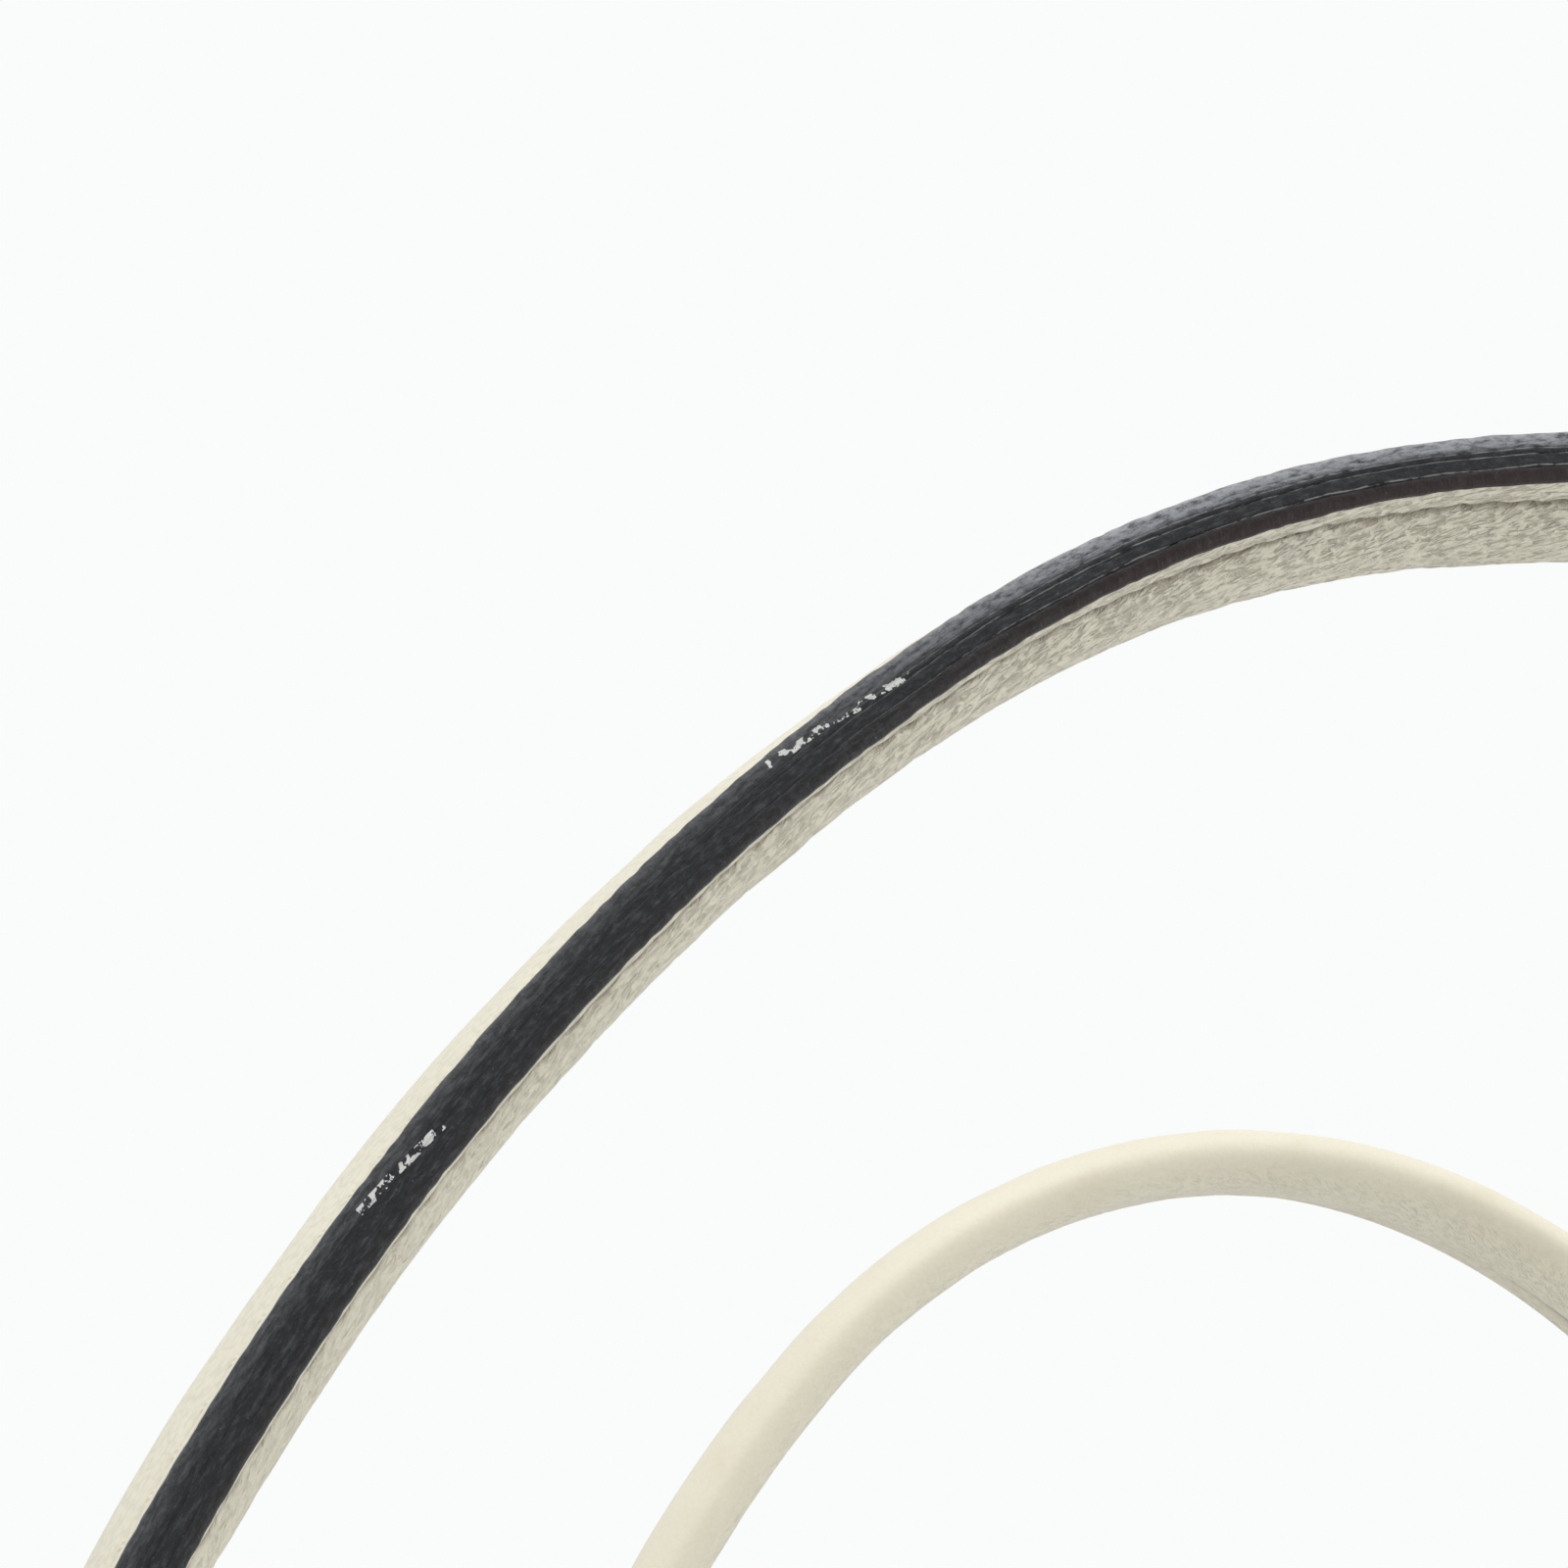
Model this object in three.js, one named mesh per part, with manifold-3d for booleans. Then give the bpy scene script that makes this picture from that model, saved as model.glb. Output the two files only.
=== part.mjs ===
// Pair of rolled leather carrying handles: a broad one in front and a narrow one behind.
// Millimetres, +Z up, front at -Y. The origin is midway between the anchors, on their lower edge.
import * as THREE from 'three';
import { mergeVertices } from 'three/addons/utils/BufferGeometryUtils.js';
import Module from 'manifold-3d';

// ---- arches, each given from its crown down one leg as arcs: radius and leg angle at the end of it
const FRONT_ARCS = [[242, 11], [128, 38], [219, 64]];
const REAR_ARCS = [[87, 20], [98, 48], [170, 61]];
const FRONT_RISE = 165;          // crown above the cut ends of the front handle
const REAR_RISE = 129;           // crown above the cut ends of the rear handle
const END_LEAN = 84;             // degrees, leg angle at the cut ends of both handles
const STRAIGHT_BEYOND_TAB = 3;   // straight length of a handle above the top of its tab
const HANDLE_SPACING = 154;      // between the middles of the two handles, front to back

// ---- section of a handle
const WRAP_DEPTH = 20.2;         // raw edge to fold
const SEAM_THICKNESS = 4.5;      // both skins and both plies at the raw edge
const BODY_THICKNESS = 8.8;      // over the padding
const LEATHER = 1.15;
const PLY_PLAY = 0.28;           // ply to skin
const PLY_TO_CORE = 0.9;         // inner edge of the plies to the padding
const CORE_DEPTH = 9;
const CORE_PLAY = 0.45;          // padding to skin
const CORE_FROM_FOLD = 6.6;      // middle of the padding to the outside of the fold
const LACQUER_THICKNESS = 0.9;
const STITCH_INSET = 4.6;
const THREAD_DIAMETER = 0.7;
const CLEARANCE = 0.3;           // between pieces that only lie together
const TIGHT = 0.15;              // thread to leather, rivet heads to leather
const ARCH_STEPS = 34;

// ---- metal loops
const BAR = 3.5;                 // thickness of the metal of links and D-rings
const BAR_CHAMFER = 0.7;
const LINK_TO_TAB = 1;           // room in the link beside the tab, each side
const LINK_OPENING_HEIGHT = 19.2;
const LINK_CORNER = 1.75;        // inner corner radius of a link
const LINK_PLAY = 0.5;           // lower bar of the link to the crown of the D-ring
const DEE_TO_ANCHOR = 1.5;       // room in the D-ring beside the anchor, each side
const DEE_OPENING_HEIGHT = 15;
const LOOP_PLAY = 0.31;          // edges of the bar to the inside of the leather loop round it

// ---- leather end tabs
const TAB_LEATHER = 1.6;
const TAB_WIDTH = 15;
const TAB_GRIP = 27;             // length of the tab up the handle
const TAB_NECK = 9.5;            // cut end of the handle to the middle of the bar
const TAB_RIVETS = [7, 19];      // from the cut end of the handle

// ---- leather anchors
const ANCHOR_LEATHER = 2;
const ANCHOR_WIDTH = 16;
const ANCHOR_BAR_HEIGHT = 41;    // D-ring bar above the lower edge
const ANCHOR_PINCH = 31;         // height at which the two plies come together
const WALL_GAP = 5;              // room for the bag wall between anchor and backing plate
const PLATE_THICKNESS = 1.5;
const PLATE_BEYOND_ANCHOR = 1;   // plate wider than the anchor, each side
const PLATE_HEIGHT = 30;
const ANCHOR_RIVETS = [8, 23];

// ---- rivets
const POST_DIAMETER = 2.8;
const HEAD_DIAMETER = 7.5;
const HEAD_THICKNESS = 1.3;
const RIVET_SEGMENTS = 10;

// ---- sizes that follow from the ones above
const STRAIGHT_END = TAB_GRIP + STRAIGHT_BEYOND_TAB;
const LINK_OPENING_DEPTH = TAB_WIDTH + 2 * LINK_TO_TAB;
const DEE_OPENING_WIDTH = ANCHOR_WIDTH + 2 * DEE_TO_ANCHOR;
const LOOP_BORE = Math.hypot(BAR / 2, BAR / 2 - BAR_CHAMFER) + LOOP_PLAY;
const PLATE_WIDTH = ANCHOR_WIDTH + 2 * PLATE_BEYOND_ANCHOR;

const wasm = await Module();
wasm.setup();

const UP = new THREE.Vector3(0, 0, 1);

// ---------------------------------------------------------------- materials
const leather = () => new THREE.MeshStandardMaterial({ color: 0xdfd6c0, roughness: 0.55 });
const tabLeather = () => new THREE.MeshStandardMaterial({ color: 0xd8ceb6, roughness: 0.6 });
const padding = () => new THREE.MeshStandardMaterial({ color: 0xb9b4a8, roughness: 0.95 });
const ply = () => new THREE.MeshStandardMaterial({ color: 0xa8825a, roughness: 0.9 });
const lacquer = () => new THREE.MeshStandardMaterial({ color: 0x17181b, roughness: 0.35 });
const thread = () => new THREE.MeshStandardMaterial({ color: 0xd9cfb4, roughness: 0.8 });
const nickel = () => new THREE.MeshStandardMaterial({ color: 0xc9cace, roughness: 0.25, metalness: 1 });
const steel = () => new THREE.MeshStandardMaterial({ color: 0x9a9ca0, roughness: 0.45, metalness: 1 });

// ---------------------------------------------------------------- arches
const rad = THREE.MathUtils.degToRad;

/** Adds the last arc of a leg, of the radius that brings the cut end to the wanted depth. */
function closeArch(arcs, rise) {
  let from = 0;
  let drop = 0;
  for (const [radius, to] of arcs) {
    drop += radius * (Math.cos(from) - Math.cos(rad(to)));
    from = rad(to);
  }
  const bend = rise - drop - STRAIGHT_END * Math.sin(rad(END_LEAN));
  const last = bend / (Math.cos(from) - Math.cos(rad(END_LEAN)));
  return [...arcs, [last, END_LEAN]];
}

/** Point and leg angle at a distance from the crown, distances to the right being positive. */
function alongArch(arcs, distance) {
  const side = Math.sign(distance) || 1;
  let left = Math.abs(distance);
  let from = 0;
  let x = 0;
  let z = 0;
  for (const [radius, to] of arcs) {
    const sweep = Math.min(left / radius, rad(to) - from);
    const angle = from + sweep;
    x += radius * (Math.sin(angle) - Math.sin(from));
    z -= radius * (Math.cos(from) - Math.cos(angle));
    left -= sweep * radius;
    from = angle;
  }
  x += left * Math.cos(from);
  z -= left * Math.sin(from);
  return { x: side * x, z, angle: -side * from };
}

/** Length of one leg, crown to cut end, with its straight end. */
function legLength(arcs) {
  let from = 0;
  let length = STRAIGHT_END;
  for (const [radius, to] of arcs) {
    length += radius * (rad(to) - from);
    from = rad(to);
  }
  return length;
}

/** Centre line of a handle, whose frames keep the section square to the plane of the arch. */
class ArchLine extends THREE.Curve {
  constructor(arcs, y, crown) {
    super();
    this.arcs = arcs;
    this.y = y;
    this.crown = crown;
    this.leg = legLength(arcs);
  }

  getPoint(t, target = new THREE.Vector3()) {
    const at = alongArch(this.arcs, (2 * t - 1) * this.leg);
    return target.set(at.x, this.y, this.crown + at.z);
  }

  computeFrenetFrames(steps) {
    const frames = { tangents: [], normals: [], binormals: [] };
    for (let i = 0; i <= steps; i += 1) {
      const { angle } = alongArch(this.arcs, (2 * i / steps - 1) * this.leg);
      frames.tangents.push(new THREE.Vector3(Math.cos(angle), 0, Math.sin(angle)));
      frames.normals.push(new THREE.Vector3(0, 1, 0));
      frames.binormals.push(new THREE.Vector3(-Math.sin(angle), 0, Math.cos(angle)));
    }
    return frames;
  }
}

// ---------------------------------------------------------------- small geometry helpers
/** Closed outline from [x, y] points. */
const outline = (points) => new THREE.Shape(points.map(([x, y]) => new THREE.Vector2(x, y)));

/** Upper half of a symmetric outline, completed by its mirror image below. */
const mirrored = (upper) => [...upper, ...upper.slice().reverse().map(([x, y]) => [x, -y])];

/** Points of an ellipse. */
function ellipse(cx, halfWidth, halfHeight, count) {
  const points = [];
  for (let i = 0; i < count; i += 1) {
    const a = (2 * Math.PI * (i + 0.5)) / count;
    points.push([cx + halfWidth * Math.cos(a), halfHeight * Math.sin(a)]);
  }
  return points;
}

/** Points of an arc about a centre, in the plane of the outline. */
function arcPoints(cx, cy, radius, from, to, count) {
  const points = [];
  for (let i = 0; i <= count; i += 1) {
    const a = rad(from + ((to - from) * i) / count);
    points.push([cx + radius * Math.cos(a), cy + radius * Math.sin(a)]);
  }
  return points;
}

/** Mesh geometry with shared corners, without the values that keep them apart. */
function welded(geometry) {
  geometry.deleteAttribute('normal');
  geometry.deleteAttribute('uv');
  return mergeVertices(geometry, 1e-4);
}

/** Solid for a boolean, turned right side out. */
function solid(geometry) {
  const shared = welded(geometry);
  const position = shared.getAttribute('position');
  const index = Uint32Array.from(shared.getIndex().array);
  const a = new THREE.Vector3();
  const b = new THREE.Vector3();
  const c = new THREE.Vector3();
  let volume = 0;
  for (let i = 0; i < index.length; i += 3) {
    a.fromBufferAttribute(position, index[i]);
    b.fromBufferAttribute(position, index[i + 1]);
    c.fromBufferAttribute(position, index[i + 2]);
    volume += a.dot(b.cross(c));
  }
  if (volume < 0) {
    for (let i = 0; i < index.length; i += 3) {
      [index[i + 1], index[i + 2]] = [index[i + 2], index[i + 1]];
    }
  }
  const vertProperties = Float32Array.from(position.array);
  return new wasm.Manifold(new wasm.Mesh({ numProp: 3, vertProperties, triVerts: index }));
}

/** Geometry of a boolean result. */
function fromSolid(body) {
  const result = body.getMesh();
  const geometry = new THREE.BufferGeometry();
  geometry.setAttribute('position', new THREE.BufferAttribute(result.vertProperties, result.numProp));
  geometry.setIndex(new THREE.BufferAttribute(result.triVerts, 1));
  geometry.computeVertexNormals();
  return geometry;
}

/** A body with round holes drilled through it, each given as a geometry. */
function drilled(geometry, holes) {
  let body = solid(geometry);
  for (const hole of holes) {
    body = body.subtract(solid(hole));
  }
  return fromSolid(body);
}

/** Outline swept along an arch. */
const swept = (points, line) => new THREE.ExtrudeGeometry(
  outline(points),
  { steps: ARCH_STEPS, bevelEnabled: false, extrudePath: line },
);

/** Flat ring of bar stock lying in the XY plane, centred on it, with chamfered edges. */
function barRing(outer, inner) {
  const shape = outline(outer);
  shape.holes.push(new THREE.Path(inner.map(([x, y]) => new THREE.Vector2(x, y))));
  const geometry = new THREE.ExtrudeGeometry(shape, {
    depth: BAR - 2 * BAR_CHAMFER,
    bevelThickness: BAR_CHAMFER,
    bevelSize: BAR_CHAMFER,
    bevelOffset: -BAR_CHAMFER,
    bevelSegments: 1,
  });
  geometry.translate(0, 0, BAR_CHAMFER - BAR / 2);
  return geometry;
}

/** Corners of a rounded rectangle round the origin. */
function roundedRectangle(width, height, radius) {
  const corners = [[1, 1, 0], [-1, 1, 90], [-1, -1, 180], [1, -1, 270]];
  return corners.flatMap(([sx, sy, from]) => arcPoints(
    sx * (width / 2 - radius),
    sy * (height / 2 - radius),
    radius,
    from,
    from + 90,
    3,
  ));
}

/** Rivet along Z between the outsides of two faces, with a low domed head on each. */
function rivet(low, high) {
  const head = HEAD_DIAMETER / 2;
  const post = POST_DIAMETER / 2;
  const profile = [
    [0, low - HEAD_THICKNESS],
    [head * 0.75, low - HEAD_THICKNESS * 0.75],
    [head, low],
    [post, low],
    [post, high],
    [head, high],
    [head * 0.75, high + HEAD_THICKNESS * 0.75],
    [0, high + HEAD_THICKNESS],
  ].map(([r, z]) => new THREE.Vector2(r, z));
  const geometry = new THREE.LatheGeometry(profile, RIVET_SEGMENTS);
  geometry.rotateX(Math.PI / 2);
  return geometry;
}

/** Drill along Z, long enough to pass through whatever is drilled. */
function drill(reach) {
  const radius = POST_DIAMETER / 2 + CLEARANCE;
  const geometry = new THREE.CylinderGeometry(radius, radius, 2 * reach, RIVET_SEGMENTS);
  geometry.rotateX(Math.PI / 2);
  return geometry;
}

// ---------------------------------------------------------------- sections
const seamHalf = SEAM_THICKNESS / 2;
const bodyHalf = BODY_THICKNESS / 2;
const coreMiddle = WRAP_DEPTH - CORE_FROM_FOLD;
const shoulder = (STITCH_INSET + coreMiddle - 1.8) / 2;             // where the padded body begins
const plyDepth = coreMiddle - CORE_DEPTH / 2 - PLY_TO_CORE;
const coreHalf = bodyHalf - LEATHER - CORE_PLAY;

/** Upper outside of the leather, from the raw edge to the fold. */
const SKIN = [
  [0, seamHalf],
  [STITCH_INSET, seamHalf + 0.4],
  [shoulder, bodyHalf - 0.75],
  [coreMiddle - 2.6, bodyHalf - 0.1],
  [coreMiddle + 0.4, bodyHalf],
  [WRAP_DEPTH - 3.4, bodyHalf - 0.6],
  [WRAP_DEPTH - 1.2, bodyHalf - 2.1],
  [WRAP_DEPTH - 0.2, bodyHalf - 3.6],
];

/** The same line one leather thickness further in. */
function insideOf(points, distance) {
  return points.map(([x, y], i) => {
    const [x0, y0] = points[Math.max(i - 1, 0)];
    const [x1, y1] = points[Math.min(i + 1, points.length - 1)];
    const length = Math.hypot(x1 - x0, y1 - y0);
    const shift = i === 0 ? 0 : ((y1 - y0) / length) * distance;
    return [x + shift, y - ((x1 - x0) / length) * distance];
  });
}

const skinInside = insideOf(SKIN, LEATHER);
const wrapSection = [...mirrored(SKIN), ...mirrored(skinInside).reverse()];
const plyLow = CLEARANCE / 2;
const plyHigh = seamHalf - LEATHER - PLY_PLAY;

/** Ply between the skins of the seam, on the upper or lower side. */
function plySection(side) {
  const low = side * plyLow;
  const high = side * plyHigh;
  return [[0, low], [plyDepth, low], [plyDepth, high], [0, high]];
}

const SECTIONS = {
  wrap: wrapSection,
  core: ellipse(coreMiddle, CORE_DEPTH / 2, coreHalf, 10),
  ply_upper: plySection(1),
  ply_lower: plySection(-1),
  lacquer: mirrored([
    [-TIGHT - LACQUER_THICKNESS, seamHalf - 0.9],
    [-TIGHT - LACQUER_THICKNESS * 0.6, seamHalf - 0.2],
    [-TIGHT, seamHalf],
  ]),
};

/** Round thread lying on the skin at the stitch line, on the upper or lower side. */
function threadSection(side) {
  const radius = THREAD_DIAMETER / 2;
  const height = side * (SKIN[1][1] + TIGHT + radius);
  return ellipse(STITCH_INSET, radius, radius, 4).map(([x, y]) => [x, y + height]);
}

// ---------------------------------------------------------------- assemblies
const group = new THREE.Group();
group.name = 'rolled_leather_handles';

/** Adds a named body to the part. */
function add(name, geometry, material) {
  const shared = geometry.getIndex() && !geometry.getAttribute('uv') ? geometry : fromSolid(solid(geometry));
  const mesh = new THREE.Mesh(shared, material);
  mesh.name = name;
  group.add(mesh);
}

/** Outline of the end tab, seen along the bar: Y up the handle, origin at its cut end. */
function tabOutline() {
  const grip = bodyHalf + CLEARANCE;
  const outerGrip = grip + TAB_LEATHER;
  const outerLoop = LOOP_BORE + TAB_LEATHER;
  const inner = [
    [grip, TAB_GRIP],
    [grip, -CLEARANCE],
    ...arcPoints(0, -TAB_NECK, LOOP_BORE, 20, -200, 8),
    [-grip, -CLEARANCE],
    [-grip, TAB_GRIP],
  ];
  const outer = [
    [-outerGrip, TAB_GRIP],
    [-outerGrip, -CLEARANCE - TAB_LEATHER / 2],
    ...arcPoints(0, -TAB_NECK, outerLoop, -200, 20, 8),
    [outerGrip, -CLEARANCE - TAB_LEATHER / 2],
    [outerGrip, TAB_GRIP],
  ];
  return [...inner, ...outer];
}

/** Outline of an anchor seen from the side: X towards the bag wall, Y up. */
function anchorOutline() {
  const outside = LOOP_BORE + ANCHOR_LEATHER;
  const pinch = LOOP_BORE - CLEARANCE;
  return [
    [outside, 0],
    ...arcPoints(0, ANCHOR_BAR_HEIGHT, outside, 0, 180, 8),
    [pinch - ANCHOR_LEATHER, ANCHOR_PINCH],
    [pinch - ANCHOR_LEATHER, 0],
    [pinch, 0],
    [pinch, ANCHOR_PINCH],
    ...arcPoints(0, ANCHOR_BAR_HEIGHT, LOOP_BORE, 180, 0, 8),
    [LOOP_BORE, 0],
  ];
}

/** Flat outline pushed out evenly both ways, square to its plane. */
function slab(points, width) {
  const geometry = new THREE.ExtrudeGeometry(outline(points), { depth: width, bevelEnabled: false });
  geometry.translate(0, 0, -width / 2);
  return geometry;
}

/** Axes of a piece: where its own X, Y and Z point, and where its origin is. */
function placed(geometry, xAxis, yAxis, zAxis, origin) {
  const matrix = new THREE.Matrix4().makeBasis(xAxis, yAxis, zAxis).setPosition(origin);
  geometry.applyMatrix4(matrix);
  return geometry;
}

const deeReach = ANCHOR_BAR_HEIGHT + DEE_OPENING_HEIGHT + BAR;      // D-ring crown, middle of the bar
const linkLow = deeReach - BAR - LINK_PLAY;                         // lower bar of the link
const linkHigh = linkLow + LINK_OPENING_HEIGHT + BAR;               // upper bar of the link
const endHeight = linkHigh + TAB_NECK * Math.sin(rad(END_LEAN));    // cut ends of the handles

/** One end of a handle: tab, rivets, link, D-ring and anchor. */
function addEnd(name, end, sideX, sideY, yMiddle) {
  const along = new THREE.Vector3(sideX * Math.cos(rad(END_LEAN)), 0, -Math.sin(rad(END_LEAN)));
  const upHandle = along.clone().negate();
  const depth = new THREE.Vector3(0, 1, 0);
  const across = upHandle.clone().cross(depth);
  const cut = new THREE.Vector3(end.x, yMiddle, endHeight);
  const tabOut = bodyHalf + CLEARANCE + TAB_LEATHER + TIGHT;
  const tabDrills = TAB_RIVETS.map((up) => placed(
    drill(2 * BODY_THICKNESS),
    depth,
    upHandle,
    across,
    cut.clone().addScaledVector(upHandle, up),
  ));
  const tab = placed(slab(tabOutline(), TAB_WIDTH), across, upHandle, depth, cut);
  add(`${name}_end_tab`, drilled(tab, tabDrills), tabLeather());
  TAB_RIVETS.forEach((up, i) => {
    const at = cut.clone().addScaledVector(upHandle, up);
    const body = placed(rivet(-tabOut, tabOut), depth, upHandle, across, at);
    add(`${name}_tab_rivet_${i + 1}`, body, nickel());
  });

  const barX = end.x + along.x * TAB_NECK;
  const xAxis = new THREE.Vector3(1, 0, 0);
  const linkMiddle = new THREE.Vector3(barX, yMiddle, (linkLow + linkHigh) / 2);
  const link = barRing(
    roundedRectangle(LINK_OPENING_DEPTH + 2 * BAR, LINK_OPENING_HEIGHT + 2 * BAR, LINK_CORNER + BAR),
    roundedRectangle(LINK_OPENING_DEPTH, LINK_OPENING_HEIGHT, LINK_CORNER),
  );
  add(`${name}_link`, placed(link, depth, UP, xAxis, linkMiddle), nickel());

  const deeBar = new THREE.Vector3(barX, yMiddle, ANCHOR_BAR_HEIGHT);
  const half = DEE_OPENING_WIDTH / 2;
  const straight = DEE_OPENING_HEIGHT - half + BAR / 2;
  const dee = barRing(
    [[-half - BAR, -BAR / 2], [half + BAR, -BAR / 2], ...arcPoints(0, straight, half + BAR, 0, 180, 10)],
    [[-half, BAR / 2], [half, BAR / 2], ...arcPoints(0, straight, half, 0, 180, 10)],
  );
  const back = new THREE.Vector3(0, -1, 0);
  add(`${name}_dee_ring`, placed(dee, xAxis, UP, back, deeBar), nickel());

  const inward = new THREE.Vector3(0, sideY, 0);
  const foot = new THREE.Vector3(barX, yMiddle, 0);
  const flank = inward.clone().cross(UP);
  const heights = ANCHOR_RIVETS.map((z) => foot.clone().addScaledVector(UP, z));
  const outward = flank.clone().cross(UP);
  const drills = () => heights.map((at) => placed(drill(4 * WALL_GAP), flank, UP, outward, at));
  const anchor = placed(slab(anchorOutline(), ANCHOR_WIDTH), inward, UP, flank, foot);
  add(`${name}_anchor`, drilled(anchor, drills()), tabLeather());
  const wallFace = LOOP_BORE + ANCHOR_LEATHER;
  const plateFar = wallFace + WALL_GAP + PLATE_THICKNESS;
  const plate = new THREE.BoxGeometry(PLATE_WIDTH, PLATE_THICKNESS, PLATE_HEIGHT);
  const plateY = yMiddle + sideY * (plateFar - PLATE_THICKNESS / 2);
  const middleRivet = (ANCHOR_RIVETS[0] + ANCHOR_RIVETS[1]) / 2;
  plate.translate(barX, plateY, middleRivet);
  add(`${name}_backing_plate`, drilled(plate, drills()), steel());
  const frontFace = LOOP_BORE - CLEARANCE - ANCHOR_LEATHER;
  heights.forEach((at, i) => {
    const body = rivet(frontFace - TIGHT, plateFar + TIGHT);
    add(`${name}_anchor_rivet_${i + 1}`, placed(body, flank, UP.clone().negate(), inward, at), nickel());
  });
  return tabDrills;
}

/** A whole handle with both its ends; sideY is +1 for the front one and -1 for the rear. */
function addHandle(name, arcs, rise, sideY) {
  const arch = closeArch(arcs, rise);
  const yMiddle = (-sideY * HANDLE_SPACING) / 2;
  const edgeY = yMiddle - sideY * (WRAP_DEPTH / 2);
  const line = new ArchLine(arch, edgeY, endHeight + rise);
  const right = alongArch(arch, line.leg);
  const drills = [-1, 1].flatMap((sideX) => addEnd(
    `${name}_${sideX < 0 ? 'left' : 'right'}`,
    { x: sideX * right.x },
    sideX,
    sideY,
    yMiddle,
  ));
  const turned = (points) => points.map(([x, y]) => [sideY * x, y]);
  const sweep = (points) => swept(turned(points), line);
  add(`${name}_leather_wrap`, drilled(sweep(SECTIONS.wrap), drills.map((d) => d.clone())), leather());
  add(`${name}_core`, drilled(sweep(SECTIONS.core), drills.map((d) => d.clone())), padding());
  add(`${name}_ply_upper`, sweep(SECTIONS.ply_upper), ply());
  add(`${name}_ply_lower`, sweep(SECTIONS.ply_lower), ply());
  add(`${name}_edge_lacquer`, sweep(SECTIONS.lacquer), lacquer());
  add(`${name}_thread_outer`, sweep(threadSection(1)), thread());
  add(`${name}_thread_inner`, sweep(threadSection(-1)), thread());
}

addHandle('front', FRONT_ARCS, FRONT_RISE, 1);
addHandle('rear', REAR_ARCS, REAR_RISE, -1);

export default group;
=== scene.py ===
"""Looks of a pair of rolled leather carrying handles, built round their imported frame.

A broad handle stands in front and a narrow one behind it. Each is cream leather folded round
padding, sewn along one side and sealed there with black edge lacquer, and hangs by riveted tabs
and metal loops from four leather anchors. Lengths in the classes are millimetres; meshes are metres.
"""

import logging
import math
from collections.abc import Callable
from dataclasses import dataclass, field
from enum import Enum

import bmesh
import bpy
import numpy as np
from mathutils import Euler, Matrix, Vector


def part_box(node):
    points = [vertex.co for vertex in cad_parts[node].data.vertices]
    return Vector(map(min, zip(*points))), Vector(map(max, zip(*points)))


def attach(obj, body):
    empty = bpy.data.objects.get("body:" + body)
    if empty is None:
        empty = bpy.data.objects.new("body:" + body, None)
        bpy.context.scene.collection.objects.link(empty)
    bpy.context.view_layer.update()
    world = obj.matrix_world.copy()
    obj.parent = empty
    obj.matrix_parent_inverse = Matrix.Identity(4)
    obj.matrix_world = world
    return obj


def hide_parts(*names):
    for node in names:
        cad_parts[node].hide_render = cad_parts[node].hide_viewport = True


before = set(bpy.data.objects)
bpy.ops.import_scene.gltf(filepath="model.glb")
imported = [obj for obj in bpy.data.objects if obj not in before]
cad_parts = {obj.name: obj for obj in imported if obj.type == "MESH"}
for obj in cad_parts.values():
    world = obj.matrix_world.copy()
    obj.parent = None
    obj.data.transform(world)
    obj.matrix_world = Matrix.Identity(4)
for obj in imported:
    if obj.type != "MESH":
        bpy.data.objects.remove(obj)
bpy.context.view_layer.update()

log = logging.getLogger("handles")
MM = 0.001
Colour = tuple[float, float, float]
Socket = bpy.types.NodeSocket
Number = float | bpy.types.NodeSocket


class Place(Enum):
    """Which of the two handles, and which way along Y it faces."""

    FRONT = ("front", 1)
    REAR = ("rear", -1)

    @property
    def word(self) -> str:
        """Name used in the names of its pieces."""
        return self.value[0]

    @property
    def facing(self) -> int:
        """+1 where the raw edge looks to -Y and the fold to +Y, else -1."""
        return self.value[1]


class Side(Enum):
    """End of a handle, left or right."""

    LEFT = ("left", -1)
    RIGHT = ("right", 1)

    @property
    def word(self) -> str:
        """Name used in the names of its pieces."""
        return self.value[0]

    @property
    def sign(self) -> int:
        """-1 at the left and +1 at the right."""
        return self.value[1]


# --------------------------------------------------------------------------- repeatable unevenness
class Unevenness:
    """Smooth seeded noise over a surface, for the wrinkles and dents that are real geometry."""

    def __init__(self, seed: int) -> None:
        """Fills the lattice of the noise.

        Args:
            seed: number that makes this unevenness different from another.
        """
        self.lattice = np.random.default_rng(seed).random((256, 256))

    def at(self, x: np.ndarray, y: np.ndarray) -> np.ndarray:
        """Noise from 0 to 1.

        Args:
            x: first coordinate, one lattice step per unit.
            y: second coordinate, one lattice step per unit.

        Returns:
            One value for each pair of coordinates.
        """
        x0, y0 = np.floor(x).astype(int), np.floor(y).astype(int)
        u, v = x - x0, y - y0
        u, v = u * u * (3 - 2 * u), v * v * (3 - 2 * v)
        x0, y0, x1, y1 = x0 % 256, y0 % 256, (x0 + 1) % 256, (y0 + 1) % 256
        low = self.lattice[x0, y0] * (1 - u) + self.lattice[x1, y0] * u
        high = self.lattice[x0, y1] * (1 - u) + self.lattice[x1, y1] * u
        return low * (1 - v) + high * v

    def folds(self, x: np.ndarray, y: np.ndarray, sharpness: float) -> np.ndarray:
        """Narrow valleys between broad swellings.

        Args:
            x: first coordinate, one lattice step per unit.
            y: second coordinate, one lattice step per unit.
            sharpness: how narrow the valleys are.

        Returns:
            0 on the swellings and up to 1 in the valleys.
        """
        return (1 - np.abs(2 * self.at(x, y) - 1)) ** sharpness


def bump_at(values: np.ndarray, middle: float, width: float) -> np.ndarray:
    """Bell of height 1 round a middle value."""
    return np.exp(-(((values - middle) / width) ** 2))


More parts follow.
